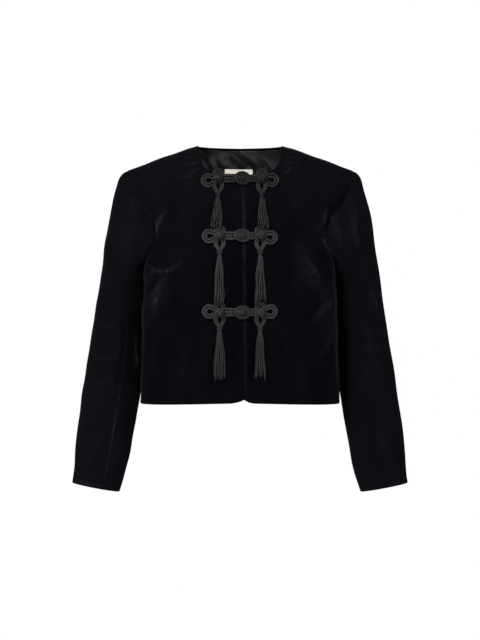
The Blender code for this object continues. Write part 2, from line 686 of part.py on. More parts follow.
for row, across, height, neck_drop, tip in FROG_ROWS:
    for side, hand in ((-1, "right"), (1, "left")):
        add_frog(f"frog_{row}_{hand}", side, across, height)
        add_ball(f"ball_{row}_{hand}", side, across, height)
        add_tassel(f"tassel_{row}_{hand}", side, across, height, neck_drop, tip)
    add_knot(f"knot_{row}", height)
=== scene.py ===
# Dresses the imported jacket: velvet shells with their creases, satin and a bare label inside the
# neck, plaited frogs with woven ball knots, thread tassels, a pale floor and soft light.
# Metres, +Z up. The front faces -Y, and left (+X) and right (-X) are the wearer's.
import json
import math

import bpy
import numpy as np
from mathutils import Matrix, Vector

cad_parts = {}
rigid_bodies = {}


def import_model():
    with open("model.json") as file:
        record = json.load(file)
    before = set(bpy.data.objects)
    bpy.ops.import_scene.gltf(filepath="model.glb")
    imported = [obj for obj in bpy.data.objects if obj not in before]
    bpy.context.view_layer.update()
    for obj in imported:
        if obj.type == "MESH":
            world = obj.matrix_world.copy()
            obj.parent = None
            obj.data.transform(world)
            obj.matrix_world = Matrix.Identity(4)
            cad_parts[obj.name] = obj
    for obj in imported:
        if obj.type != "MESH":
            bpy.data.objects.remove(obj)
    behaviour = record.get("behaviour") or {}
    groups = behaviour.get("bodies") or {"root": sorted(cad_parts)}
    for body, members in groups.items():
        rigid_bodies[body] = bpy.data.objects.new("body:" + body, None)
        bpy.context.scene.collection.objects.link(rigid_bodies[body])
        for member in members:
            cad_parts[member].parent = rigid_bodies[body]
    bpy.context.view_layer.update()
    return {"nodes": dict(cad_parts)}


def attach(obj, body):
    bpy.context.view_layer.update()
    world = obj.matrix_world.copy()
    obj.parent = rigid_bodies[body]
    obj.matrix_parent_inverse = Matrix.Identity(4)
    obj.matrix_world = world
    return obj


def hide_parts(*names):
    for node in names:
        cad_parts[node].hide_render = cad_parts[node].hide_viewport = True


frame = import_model()
print("frame:", len(frame["nodes"]), "nodes")

bodyCut = {
    "wall": 0.0018,
    "hemHeight": -0.4835,
    "hemDip": 0.003,
    "cornerRadius": 0.009,
    "hemRun": 0.19,
    "sideRadius": 0.1,
    "underarmHeight": -0.228,
    "sideAngle": math.radians(106.0),
    "frontSquareness": 2.4,
    "backSquareness": 2.3,
    "neckHalfWidth": 0.079,
    "neckFrontHeight": -0.0660,
    "neckBackHeight": 0.0022,
    "neckPointLift": 0.0026,
    "neckSquareness": 2.35,
    "shoulderHalfWidth": 0.2145,
    "shoulderSlope": 0.368,
    "neckPointDip": 0.005,
    "neckPointReach": 0.015,
    "shoulderRounding": 0.062,
    "shoulderEndGap": 1.3,
    "shoulderEndPower": 8,
    "seamGap": 0.0007,
    "openingTop": 0.003,
    "openingHem": 0.0075,
    "openingGap": 0.0002,
    "armholeStart": 0.54,
    "sideSeamEnd": 0.56,
    # height, front half width, back half width, front depth, back depth, widest line
    "sections": np.array([
        (-0.490, 0.1885, 0.1885, 0.110, 0.101, -0.028),
        (-0.400, 0.1865, 0.1865, 0.115, 0.095, -0.028),
        (-0.310, 0.1835, 0.1835, 0.121, 0.100, -0.027),
        (-0.228, 0.1800, 0.1800, 0.121, 0.108, -0.024),
        (-0.203, 0.1757, 0.1874, 0.117, 0.110, -0.018),
        (-0.175, 0.1654, 0.1949, 0.111, 0.111, -0.012),
        (-0.146, 0.1674, 0.2017, 0.104, 0.110, -0.009),
        (-0.097, 0.2034, 0.2142, 0.092, 0.104, -0.004),
        (-0.045, 0.2168, 0.2197, 0.080, 0.090, 0.000),
        (0.010, 0.2300, 0.2300, 0.070, 0.072, 0.000),
    ]),
    # share from underarm to shoulder, height, degrees from front centre, from back centre
    "armhole": np.array([
        (0.00, -0.2280, 106.0, 74.0),
        (0.16, -0.2220, 90.0, 71.0),
        (0.30, -0.2030, 79.0, 65.0),
        (0.42, -0.1750, 74.0, 60.0),
        (0.54, -0.1460, 74.0, 60.0),
        (0.76, -0.0970, 77.0, 66.0),
        (1.00, -0.0445, 80.4, 76.4),
    ]),
    "frontNeckShare": 0.42,
    "neckLean": 0.40,
    "neckLeanWidth": 0.12,
    "neckLeanPower": 8,
    "backNeckShare": 4 / 11,
}
shoulderZero = bodyCut["neckHalfWidth"] + bodyCut["neckPointDip"] / bodyCut["shoulderSlope"]


def along(table, column, at):
    # cubic through one column of a table, read against its first; slopes come from the neighbours
    keys = table[:, 0]
    values = table[:, column]
    slopes = np.gradient(values, keys)
    i = np.clip(np.searchsorted(keys, at) - 1, 0, len(keys) - 2)
    step = keys[i + 1] - keys[i]
    t = np.clip((at - keys[i]) / step, 0.0, 1.0)
    start = (1 + 2 * t) * (1 - t) ** 2 * values[i] + t * (1 - t) ** 2 * step * slopes[i]
    end = t * t * (3 - 2 * t) * values[i + 1] + t * t * (t - 1) * step * slopes[i + 1]
    return start + end


def power(value, exponent):
    # a power that keeps the sign
    return np.sign(value) * np.abs(value) ** exponent


def unit(vectors):
    # vectors divided by their lengths
    return vectors / np.maximum(np.linalg.norm(vectors, axis=-1, keepdims=True), 1e-12)


def shoulderLine(x):
    # a straight slope less a small bell at the neck point
    reach = np.abs(x)
    near = (reach - bodyCut["neckHalfWidth"]) / bodyCut["neckPointReach"]
    dip = bodyCut["neckPointDip"] - bodyCut["neckPointLift"]
    return bodyCut["shoulderSlope"] * (shoulderZero - reach) - dip * np.exp(-near**2)


def bodyPoint(angle, z):
    # superellipse section, angle 0 at front centre and pi at back centre, drawn in to the
    # shoulder seam by a quarter circle below the shoulder line
    table = bodyCut["sections"]
    sine = np.sin(angle)
    cosine = np.cos(angle)
    front = cosine >= 0
    width = np.where(front, along(table, 1, z), along(table, 2, z))
    reach = np.where(front, -along(table, 3, z), along(table, 4, z))
    bend = np.where(front, 2 / bodyCut["frontSquareness"], 2 / bodyCut["backSquareness"])
    widest = along(table, 5, z)
    x = width * power(sine, bend)
    y = widest + (reach - widest) * np.abs(cosine) ** bend
    fall = np.clip((shoulderLine(x) - z) / bodyCut["shoulderRounding"], 0.0, 1.0)
    fullness = np.sqrt(fall * (2 - fall))
    toEnd = (x / bodyCut["shoulderHalfWidth"]) ** bodyCut["shoulderEndPower"]
    widen = 1 + bodyCut["shoulderEndGap"] * toEnd
    seam = np.where(front, -0.5, 0.5) * bodyCut["seamGap"] * widen
    return np.stack([x, y * fullness + seam * (1 - fullness), z + 0 * x], -1)


def frontAngle(x, z):
    # the front section's angle at a distance from the middle plane
    sine = power(x / along(bodyCut["sections"], 1, z), bodyCut["frontSquareness"] / 2)
    return np.arcsin(np.clip(sine, -1, 1))


def backAngle(x, z):
    # the same for the back section
    sine = power(x / along(bodyCut["sections"], 2, z), bodyCut["backSquareness"] / 2)
    return math.pi - np.arcsin(np.clip(sine, -1, 1))


def frontEdge(z, side):
    # distance of a front's own edge from the middle plane; it leans from neck to hem
    down = (bodyCut["neckFrontHeight"] - z) / (bodyCut["neckFrontHeight"] - bodyCut["hemHeight"])
    lean = bodyCut["openingTop"] + (bodyCut["openingHem"] - bodyCut["openingTop"]) * down
    return side * lean + bodyCut["openingGap"] / 2


def armholeEdge(share, column):
    # angle and height along the armhole; its top end is drawn on to the shoulder seam
    table = bodyCut["armhole"]
    endX = bodyCut["shoulderHalfWidth"]
    endZ = shoulderLine(endX)
    z = along(table, 1, share) + (endZ - table[-1, 1]) * share**4
    angle = np.radians(along(table, column, share))
    tableEnd = math.radians(table[-1, column])
    endAngle = frontAngle(endX, endZ)
    if column == 3:
        angle = math.pi - angle
        tableEnd = math.pi - tableEnd
        endAngle = backAngle(endX, endZ)
    return angle + (endAngle - tableEnd) * share**4, z


def outerEdge(v, column):
    # side seam up to the underarm, then the armhole up to the shoulder
    begin = bodyCut["armholeStart"]
    angle, z = armholeEdge(np.clip((v - begin) / (1 - begin), 0, 1), column)
    climb = (bodyCut["underarmHeight"] - bodyCut["hemHeight"]) * np.clip(v / begin, 0, 1)
    return angle, np.where(v < begin, bodyCut["hemHeight"] + climb, z)


def coons(u, v, left, right, foot, top, corners):
    # four edges blended into one sheet, less the corners counted twice
    blend = (1 - u) * left + u * right + (1 - v) * foot + v * top
    return blend - ((1 - u) * (1 - v) * corners[0] + u * (1 - v) * corners[1]
                    + (1 - u) * v * corners[2] + u * v * corners[3])


def shoulderRun(u, share):
    # even steps from the neck point to the shoulder end
    run = np.clip((u - share) / (1 - share), 0, 1)
    return bodyCut["neckHalfWidth"] + (bodyCut["shoulderHalfWidth"] - bodyCut["neckHalfWidth"]) * run


def frontTop(u, start, drop):
    # a quarter superellipse for the neckline, then the shoulder line
    share = bodyCut["frontNeckShare"]
    bend = 2 / bodyCut["neckSquareness"]
    turn = np.clip(u / share, 0, 1) * math.pi / 2
    top = bodyCut["neckPointLift"]
    neckX = start + (bodyCut["neckHalfWidth"] - start) * np.sin(turn) ** bend
    neckZ = top + (drop - top) * np.abs(np.cos(turn)) ** bend
    runX = shoulderRun(u, share)
    return np.where(u < share, neckX, runX), np.where(u < share, neckZ, shoulderLine(runX))


def backTop(u, drop):
    # a shallow parabola for the neckline, then the shoulder line
    share = bodyCut["backNeckShare"]
    inside = np.clip(u / share, 0, 1)
    top = bodyCut["neckPointLift"]
    x = np.where(u < share, bodyCut["neckHalfWidth"] * inside, shoulderRun(u, share))
    return x, np.where(u < share, top + (drop - top) * (1 - inside**2), shoulderLine(x))


def frontPlace(u, v, side):
    # a front, from its own edge (u 0) to side seam and armhole (u 1), hem (v 0) to neck (v 1)
    hem = bodyCut["hemHeight"]
    neck = bodyCut["neckFrontHeight"]
    seam = bodyCut["seamGap"] / bodyCut["sideRadius"]
    sideAngle = bodyCut["sideAngle"] - seam
    rightAngle, rightZ = outerEdge(v, 2)
    rightAngle = rightAngle - seam * (v < bodyCut["sideSeamEnd"])
    leftZ = hem + (neck - hem) * v
    leftAngle = frontAngle(frontEdge(leftZ, side), leftZ)
    neckX = frontEdge(neck, side)
    topX, topZ = frontTop(u, neckX, neck)
    hemAngle = frontAngle(frontEdge(hem, side), hem)
    footAngle = hemAngle + (sideAngle - hemAngle) * u
    radius = bodyCut["cornerRadius"]
    short = np.maximum(radius - u * bodyCut["hemRun"], 0)
    footZ = hem - bodyCut["hemDip"] * np.sin(math.pi * u) + radius - np.sqrt(radius**2 - short**2)
    endX = bodyCut["shoulderHalfWidth"]
    endZ = shoulderLine(endX)
    angleCorners = (hemAngle, sideAngle, frontAngle(neckX, neck), frontAngle(endX, endZ))
    angle = coons(u, v, leftAngle, rightAngle, footAngle, frontAngle(topX, topZ), angleCorners)
    # below the neck point the sheet's lines lean out, so that they leave the upright neckline
    beside = (u - bodyCut["frontNeckShare"]) / bodyCut["neckLeanWidth"]
    angle = angle + bodyCut["neckLean"] * np.exp(-(beside**2)) * (1 - v) * v ** bodyCut["neckLeanPower"]
    z = coons(u, v, leftZ, rightZ, footZ, topZ, (hem, hem, neck, endZ))
    return bodyPoint(angle, z) * np.array((side, 1, 1))


def backPlace(u, v):
    # the whole back, u 0 at the left side seam and 1 at the right
    half = np.abs(2 * u - 1)
    hem = bodyCut["hemHeight"]
    neck = bodyCut["neckBackHeight"]
    sideAngle = bodyCut["sideAngle"]
    rightAngle, rightZ = outerEdge(v, 3)
    leftZ = hem + (neck - hem) * v
    topX, topZ = backTop(half, neck)
    footAngle = math.pi + (sideAngle - math.pi) * half
    endX = bodyCut["shoulderHalfWidth"]
    endZ = shoulderLine(endX)
    angleCorners = (math.pi, sideAngle, math.pi, backAngle(endX, endZ))
    angle = coons(half, v, math.pi, rightAngle, footAngle, backAngle(topX, topZ), angleCorners)
    z = coons(half, v, leftZ, rightZ, hem, topZ, (hem, hem, neck, endZ))
    spots = bodyPoint(angle, z)
    spots[..., 0] = spots[..., 0] * np.where(u < 0.5, 1, -1)
    return spots


sleeveCut = {
    "capShare": 0.36,
    "capKickTop": 0.090,
    "capKickUnder": 0.030,
    "underarmDrop": 0.3,
    "capGap": 0.0003,
    "underarmGap": 0.0009,
    "frontSeam": math.radians(112.0),
    "backSeam": math.radians(-122.0),
    "radius": 0.048,
    "levelStart": 0.80,
    # share below the cap, centre x, centre y, centre height, half width, half depth
    "sections": np.array([
        (0.00, 0.2235, 0.030, -0.2600, 0.0440, 0.0600),
        (0.26, 0.2350, 0.031, -0.3600, 0.0485, 0.0550),
        (0.52, 0.2445, 0.023, -0.4600, 0.0543, 0.0480),
        (0.75, 0.2574, 0.010, -0.5480, 0.0533, 0.0430),
        (0.87, 0.2637, 0.001, -0.5940, 0.0509, 0.0395),
        (1.00, 0.2733, -0.009, -0.6450, 0.0457, 0.0350),
    ]),
}


def armholePoint(turn):
    # the armhole loop: turn 0 at the shoulder, positive to the front, pi at the underarm,
    # with the body's level outward direction there
    share = 1 - np.abs(turn) / math.pi
    ahead, z = armholeEdge(share, 2)
    behind, z = armholeEdge(share, 3)
    angle = np.where(turn >= 0, ahead, behind)
    step = 0.02
    run = bodyPoint(angle + step, z) - bodyPoint(angle - step, z)
    return bodyPoint(angle, z), unit(np.stack([run[..., 1], -run[..., 0], 0 * z], -1))


def sleeveRing(turn, share):
    # an oval section square to the sleeve's own line, which turns level towards the cuff's edge
    table = sleeveCut["sections"]
    step = 0.01
    spot = [np.stack([along(table, k, np.clip(share + shift, 0, 1)) for k in (1, 2, 3)], -1)
            for shift in (0, -step, step)]
    axis = unit(spot[2] - spot[1])
    level = np.zeros_like(axis)
    level[..., 1] = -1.0
    ahead = unit(level - axis * np.sum(level * axis, -1, keepdims=True))
    outward = np.cross(ahead, axis)
    near = np.clip((share - sleeveCut["levelStart"]) / (1 - sleeveCut["levelStart"]), 0, 1)
    ahead = ahead + (level - ahead) * (near**2 * (3 - 2 * near))[..., None]
    wide = along(table, 4, share) * np.cos(turn)
    deep = along(table, 5, share) * np.sin(turn)
    return spot[0] + outward * wide[..., None] + ahead * deep[..., None], axis


def sleevePlace(turn, v):
    # the left sleeve: a cubic cap from the armhole to the first section, then section by section
    cap = sleeveCut["capShare"]
    start, outward = armholePoint(turn)
    ring = sleeveRing(turn, np.clip((v - cap) / (1 - cap), 0, 1))[0]
    high = ((1 + np.cos(turn)) / 2)[..., None]
    kick = sleeveCut["capKickUnder"] + (sleeveCut["capKickTop"] - sleeveCut["capKickUnder"]) * high
    lowLeave = outward - np.array((0, 0, sleeveCut["underarmDrop"]))
    leave = unit(high * np.array((1.0, 0.0, -bodyCut["shoulderSlope"])) + (1 - high) * lowLeave)
    first, firstAxis = sleeveRing(turn, 0 * v)
    start = start + leave * sleeveCut["capGap"] + outward * sleeveCut["underarmGap"] * (1 - high)
    t = np.clip(v / cap, 0, 1)[..., None]
    span = np.linalg.norm(first - start, axis=-1, keepdims=True)
    curve = ((1 + 2 * t) * (1 - t) ** 2 * start + t * (1 - t) ** 2 * kick * leave
             + t * t * (3 - 2 * t) * first + t * t * (t - 1) * span * firstAxis)
    return np.where((v < cap)[..., None], curve, ring)


def addMaterial(name, colour, roughness):
    # a material with its shader's plain values
    made = bpy.data.materials.new(name)
    made.use_nodes = True
    shader = made.node_tree.nodes["Principled BSDF"]
    shader.inputs["Base Color"].default_value = (*colour, 1.0)
    shader.inputs["Roughness"].default_value = roughness
    return made, shader


def addNode(made, kind, links=(), **values):
    # one node; links are (input name, output socket) pairs
    node = made.node_tree.nodes.new(kind)
    for name, value in values.items():
        setattr(node, name, value)
    for name, source in links:
        made.node_tree.links.new(source, node.inputs[name])
    return node


def addNoise(made, vector, scale, detail, stretch=(1, 1, 1)):
    # cloud noise of coordinates scaled axis by axis
    mapping = addNode(made, "ShaderNodeMapping", [("Vector", vector)])
    mapping.inputs["Scale"].default_value = stretch
    noise = addNode(made, "ShaderNodeTexNoise", [("Vector", mapping.outputs["Vector"])])
    noise.inputs["Scale"].default_value = scale
    noise.inputs["Detail"].default_value = detail
    return noise.outputs["Fac"]


def addRamp(made, source, low, high, between=(0.3, 0.7)):
    # one colour blended into another between two values
    ramp = addNode(made, "ShaderNodeValToRGB", [("Fac", source)])
    for element, spot, colour in zip(ramp.color_ramp.elements, between, (low, high)):
        element.position = spot
        element.color = (*colour, 1.0)
    return ramp.outputs["Color"]


def addBump(made, source, strength, depth, below=None):
    # a height turned into a normal, over an earlier one if there is one
    links = [("Height", source)] + ([("Normal", below)] if below else [])
    bump = addNode(made, "ShaderNodeBump", links)
    bump.inputs["Strength"].default_value = strength
    bump.inputs["Distance"].default_value = depth
    return bump.outputs["Normal"]


velvetFinish = {
    "deep": (0.0012, 0.0011, 0.0018),
    "worn": (0.0023, 0.0021, 0.0032),
    # painted sheen: the pale colour that the crease crests and the pale level blend towards
    "brushed": (0.028, 0.0265, 0.034),
    "sheen": 0.035,
    "sheenRoughness": 0.34,
    "sheenTint": (0.84, 0.86, 1.0, 1.0),
    "roughness": 0.9,
    # noise: scale, detail, stretch
    "soft": (26.0, 4.0, (1.0, 1.0, 0.4)),
    "patch": (150.0, 5.0, (1.0, 1.0, 0.7)),
    "pile": (1500.0, 2.0, (1.0, 1.0, 0.6)),
    # how much of the painted sheen highlight the patches leave, and between which noise values
    "broken": ((0.15, 0.15, 0.15), (1.0, 1.0, 1.0), (0.32, 0.66)),
    # bumps: strength, depth
    "softBump": (0.35, 0.006),
    "pileBump": (0.35, 0.0006),
}


def velvetMaterial():
    # near black pile: patches stretched down the cloth, a painted sheen highlight along crease crests
    # and edges (the cloth's own painted sheen value broken up by noise) over a pale level that is
    # painted light on the sleeves and painted shade between the tassels, a fine pile and a soft sheen
    made, shader = addMaterial("blackVelvet", velvetFinish["deep"], velvetFinish["roughness"])
    shader.inputs["Specular IOR Level"].default_value = 0.0
    shader.inputs["Sheen Weight"].default_value = velvetFinish["sheen"]
    shader.inputs["Sheen Roughness"].default_value = velvetFinish["sheenRoughness"]
    shader.inputs["Sheen Tint"].default_value = velvetFinish["sheenTint"]
    spot = addNode(made, "ShaderNodeTexCoord").outputs["Object"]
    soft = addNoise(made, spot, *velvetFinish["soft"])
    patch = addNoise(made, spot, *velvetFinish["patch"])
    pile = addNoise(made, spot, *velvetFinish["pile"])
    # painted sheen highlight along crease crests and edges, broken into patches
    paintedSheenAndShade = addNode(made, "ShaderNodeAttribute", attribute_name="paintedSheenAndShade").outputs["Fac"]
    broken = addRamp(made, patch, *velvetFinish["broken"])
    # the pale level: raised on the sleeves as painted light, lowered between the tassels as painted shade
    rest = addNode(made, "ShaderNodeAttribute", attribute_name="paleAndPaintedLight").outputs["Fac"]
    amount = addNode(made, "ShaderNodeMath", [(0, paintedSheenAndShade), (1, broken), (2, rest)], operation="MULTIPLY_ADD")
    amount.use_clamp = True
    ground = addRamp(made, soft, velvetFinish["deep"], velvetFinish["worn"])
    tone = addNode(made, "ShaderNodeMixRGB", [("Fac", amount.outputs["Value"]), ("Color1", ground)])
    tone.inputs["Color2"].default_value = (*velvetFinish["brushed"], 1.0)
    links = made.node_tree.links
    links.new(tone.outputs["Color"], shader.inputs["Base Color"])
    brushed = addBump(made, soft, *velvetFinish["softBump"])
    links.new(addBump(made, pile, *velvetFinish["pileBump"], brushed), shader.inputs["Normal"])
    return made


satinFinish = {
    "deep": (0.006, 0.0058, 0.0060),
    "light": (0.012, 0.0115, 0.0115),
    "roughness": (0.26, 0.42),
    "gloss": 0.55,
    "stretchGloss": 0.4,
    # noise: scale, detail, stretch
    "patch": (34.0, 3.0),
    "weave": (2600.0, 1.0, (1.0, 1.0, 0.15)),
    "weaveBump": (0.2, 0.0002),
}


def satinMaterial():
    # black satin: a fine twill of close lines over soft patches of gloss
    made, shader = addMaterial("blackSatin", satinFinish["deep"], satinFinish["roughness"][0])
    shader.inputs["Specular IOR Level"].default_value = satinFinish["gloss"]
    shader.inputs["Anisotropic"].default_value = satinFinish["stretchGloss"]
    spot = addNode(made, "ShaderNodeTexCoord").outputs["Object"]
    patch = addNoise(made, spot, *satinFinish["patch"])
    weave = addNoise(made, spot, *satinFinish["weave"])
    links = made.node_tree.links
    links.new(addRamp(made, patch, satinFinish["deep"], satinFinish["light"]), shader.inputs["Base Color"])
    gloss = addNode(made, "ShaderNodeMapRange", [("Value", patch)])
    gloss.inputs["To Min"].default_value = satinFinish["roughness"][0]
    gloss.inputs["To Max"].default_value = satinFinish["roughness"][1]
    links.new(gloss.outputs["Result"], shader.inputs["Roughness"])
    links.new(addBump(made, weave, *satinFinish["weaveBump"]), shader.inputs["Normal"])
    return made


cordFinish = {
    # painted shade: the colour that the cord's sides and the rows near the neck darken towards
    "paintedShade": (0.0022, 0.0022, 0.0026),
    "deep": (0.0060, 0.0060, 0.0068),
    "light": (0.0185, 0.0185, 0.0200),
    "roughness": 0.46,
    "gloss": 0.22,
    "threadsRound": 9.0,
    "threadTwist": 2.0,
    # share of the way round, from the cord's outer line, where painted shade darkens its sides
    "top": (0.10, 0.34),
    # painted shade, darker towards the neck: heights between which it changes, share of the change
    "neckPaintedShade": (-0.170, -0.095, 0.95),
    "sheen": 0.02,
    "sheenRoughness": 0.45,
    "tone": (420.0, 3.0),
    # bumps: strength, depth
    "fuzzBump": (0.25, 0.0006),
    "threadBump": (0.4, 0.0002),
}


def cordMaterial():
    # matt black thread: fine lines that wind round the cord, read from its own map, with painted
    # shade on its sides and in its crevices and painted shade towards the neck
    made, shader = addMaterial("blackCord", cordFinish["deep"], cordFinish["roughness"])
    shader.inputs["Specular IOR Level"].default_value = cordFinish["gloss"]
    shader.inputs["Sheen Weight"].default_value = cordFinish["sheen"]
    shader.inputs["Sheen Roughness"].default_value = cordFinish["sheenRoughness"]
    flat = addNode(made, "ShaderNodeUVMap", uv_map="thread").outputs["UV"]
    spot = addNode(made, "ShaderNodeTexCoord").outputs["Object"]
    parts = addNode(made, "ShaderNodeSeparateXYZ", [("Vector", flat)])
    wind = addNode(made, "ShaderNodeMath", [(0, parts.outputs["X"])], operation="MULTIPLY_ADD")
    wind.inputs[1].default_value = cordFinish["threadsRound"] * 2 * math.pi
    climb = addNode(made, "ShaderNodeMath", [(0, parts.outputs["Y"])], operation="MULTIPLY")
    climb.inputs[1].default_value = cordFinish["threadTwist"] * 2 * math.pi
    made.node_tree.links.new(climb.outputs["Value"], wind.inputs[2])
    lines = addNode(made, "ShaderNodeMath", [(0, wind.outputs["Value"])], operation="SINE")
    tone = addNoise(made, spot, *cordFinish["tone"])
    worn = addRamp(made, tone, cordFinish["deep"], cordFinish["light"])
    # painted shade on the cord's sides, away from its outer line
    aside = addNode(made, "ShaderNodeMath", [(0, parts.outputs["X"])], operation="SUBTRACT")
    aside.inputs[1].default_value = 0.5
    away = addNode(made, "ShaderNodeMath", [(0, aside.outputs["Value"])], operation="ABSOLUTE")
    shade = addRamp(made, away.outputs["Value"], (0.0, 0.0, 0.0), (1.0, 1.0, 1.0), cordFinish["top"])
    # painted shade towards the neck, read from the height
    place = addNode(made, "ShaderNodeSeparateXYZ", [("Vector", spot)])
    high = addNode(made, "ShaderNodeMapRange", [("Value", place.outputs["Z"])])
    high.inputs["From Min"].default_value = cordFinish["neckPaintedShade"][0]
    high.inputs["From Max"].default_value = cordFinish["neckPaintedShade"][1]
    high.inputs["To Max"].default_value = cordFinish["neckPaintedShade"][2]
    colour = worn
    for amount in (shade, high.outputs["Result"]):
        darker = addNode(made, "ShaderNodeMixRGB", [("Fac", amount), ("Color1", colour)])
        darker.inputs["Color2"].default_value = (*cordFinish["paintedShade"], 1.0)
        colour = darker.outputs["Color"]
    links = made.node_tree.links
    links.new(colour, shader.inputs["Base Color"])
    fuzz = addBump(made, tone, *cordFinish["fuzzBump"])
    threads = addBump(made, lines.outputs["Value"], *cordFinish["threadBump"], fuzz)
    links.new(threads, shader.inputs["Normal"])
    return made


labelFinish = {
    "pale": (0.90, 0.88, 0.79),
    "shade": (0.80, 0.77, 0.68),
    "roughness": 0.7,
    "cloud": (60.0, 3.0),
    "ribs": (2200.0, 1.0, (0.2, 0.2, 1.0)),
    "ribBump": (0.3, 0.0003),
}


def labelMaterial():
    # cream ribbon: fine ribs across it and a faint unevenness
    made, shader = addMaterial("creamRibbon", labelFinish["pale"], labelFinish["roughness"])
    spot = addNode(made, "ShaderNodeTexCoord").outputs["Object"]
    cloud = addNoise(made, spot, *labelFinish["cloud"])
    ribs = addNoise(made, spot, *labelFinish["ribs"])
    links = made.node_tree.links
    links.new(addRamp(made, cloud, labelFinish["shade"], labelFinish["pale"]), shader.inputs["Base Color"])
    links.new(addBump(made, ribs, *labelFinish["ribBump"]), shader.inputs["Normal"])
    return made


velvet = velvetMaterial()
satin = satinMaterial()
cord = cordMaterial()
cream = labelMaterial()
print("finishes: velvet, satin, cord, ribbon")


def gridFaces(rows, columns, closed=False):
    # quads of points numbered row by row; a closed grid joins its last column to its first
    r, c = np.meshgrid(np.arange(rows - 1), np.arange(columns if closed else columns - 1), indexing="ij")
    n = (c + 1) % columns
    quads = np.stack([r * columns + c, r * columns + n, (r + 1) * columns + n, (r + 1) * columns + c], -1)
    return quads.reshape(-1, 4)


def gridNormals(points, outward=None):
    # cross of the two grid directions, averaged over five neighbours each way, turned outward
    normals = unit(np.cross(np.gradient(points, axis=1), np.gradient(points, axis=0)))
    if outward is not None and np.sum(normals * outward) < 0:
        normals = -normals
    for axis in (0, 1, 1, 1):
        pads = [(2, 2) if axis == k else (0, 0) for k in range(3)]
        padded = np.pad(normals, pads, mode="edge")
        count = normals.shape[axis]
        normals = unit(sum(np.take(padded, np.arange(count) + shift, axis) for shift in range(5)))
    return normals


def edgeDistances(points):
    # metres along the grid lines to the first and last column and the first and last row
    across = np.linalg.norm(np.diff(points, axis=1), axis=-1)
    up = np.linalg.norm(np.diff(points, axis=0), axis=-1)
    fromFirst = np.pad(np.cumsum(across, 1), ((0, 0), (1, 0)))
    fromFoot = np.pad(np.cumsum(up, 0), ((1, 0), (0, 0)))
    return fromFirst, fromFirst[:, -1:] - fromFirst, fromFoot, fromFoot[-1:] - fromFoot


def turnedEdge(distance, depth, reach):
    # quarter oval: the cloth drops by depth at its edge and is level again one reach away
    short = np.clip(1 - distance / reach, 0, 1)
    return -depth * (1 - np.sqrt(1 - short**2))


creaseForm = {
    # the trough beside a crest: share of its height, narrowness, half widths away
    "trough": (0.4, 1.4, 1.7),
    "ends": 0.1,
    # how narrow the painted sheen highlight is along a crest
    "sheenNarrowness": 1.6,
}


def creaseRelief(table, across, up):
    # each crease is a bowed line with a bell across it and a shallower trough on one side,
    # fading towards both ends; a painted sheen highlight runs along its crest
    share, narrow, away = creaseForm["trough"]
    ends = creaseForm["ends"]
    height = np.zeros_like(up)
    paintedSheenAndShade = np.zeros_like(up)
    for x0, z0, x1, z1, bow, wide, tall, shine in table:
        runX = x1 - x0
        runZ = z1 - z0
        length = math.hypot(runX, runZ)
        run = ((across - x0) * runX + (up - z0) * runZ) / length**2
        inside = np.clip(run, 0, 1)
        aside = ((up - z0) * runX - (across - x0) * runZ) / length - 4 * bow * inside * (1 - inside)
        beyond = (run - inside) * length
        q = aside / wide
        bell = np.exp(-q * q) - share * np.exp(-narrow * (q - away) ** 2)
        fade = np.sin(math.pi * (ends + (1 - 2 * ends) * inside)) * np.exp(-((beyond / wide) ** 2))
        height = height + tall * bell * fade
        # painted sheen highlight along the crest, or painted shade where the entry is negative
        paintedSheenAndShade = paintedSheenAndShade + shine * np.exp(-creaseForm["sheenNarrowness"] * q * q) * fade
    return height, paintedSheenAndShade


def softUneven(across, up, seed, amount):
    # a few long waves in seeded directions
    shortest, longest, count = clothShell["waves"]
    dice = np.random.default_rng(seed)
    total = np.zeros_like(up)
    for wave in dice.uniform(shortest, longest, count):
        way = dice.uniform(0, math.pi)
        phase = dice.uniform(0, 2 * math.pi)
        total = total + np.sin(2 * math.pi * (across * math.cos(way) + up * math.sin(way)) / wave + phase)
    return total * amount / count**0.5


edgeSteps = np.array((0.0006, 0.0013, 0.0021, 0.0031))


def evenSteps(count, length, keep=(), rate=1.0):
    # shares from 0 to 1, crowded to the far end by the rate, with closer ones by both edges for
    # the turned cloth
    close = edgeSteps / length
    shares = 1 - (1 - np.linspace(0, 1, count + 1)) ** rate
    shares = shares[((shares > close[-1]) & (shares < 1 - close[-1])) | (shares == 0) | (shares == 1)]
    return np.unique(np.round(np.concatenate([shares, close, 1 - close, keep]), 7))


clothShell = {
    # how an edge turns in: depth, reach, whether its inside is faced with velvet
    "edges": {
        "seam": (0.0007, 0.0026, False),
        "hem": (0.0011, 0.0028, True),
        "opening": (0.0020, 0.0065, True),
    },
    # the creases fade out towards every edge
    "fadeReach": 0.012,
    "fadePower": 1.5,
    "uneven": 0.0007,
    # the uneven waves: shortest, longest, how many
    "waves": (0.045, 0.16, 7),
    "facing": 0.022,
    # a pale level added to the velvet's colour away from the creases, on the body: low down, at the
    # shoulders, and the heights between which it grows
    "paleAndPaintedLight": (0.028, 0.064),
    "restHeights": (-0.18, -0.05),
    # seam allowance under the next panel: distance on, distance in
    "tuck": ((0.0007, 0.0014), (0.0030, 0.0030), (0.0060, 0.0034)),
    "leastTuck": 0.04,
}


def tuckColumns(points, outward, share):
    # both side edges carried on past the seam and stepped in; share fades this row by row
    normals = gridNormals(points, outward)
    before = []
    after = []
    for on, down in clothShell["tuck"]:
        first = unit(points[:, 0] - points[:, 1]) * on - normals[:, 0] * down
        last = unit(points[:, -1] - points[:, -2]) * on - normals[:, -1] * down
        before.insert(0, points[:, 0] + first * share)
        after.append(points[:, -1] + last * share)
    return np.concatenate([np.stack(before, 1), points, np.stack(after, 1)], 1)


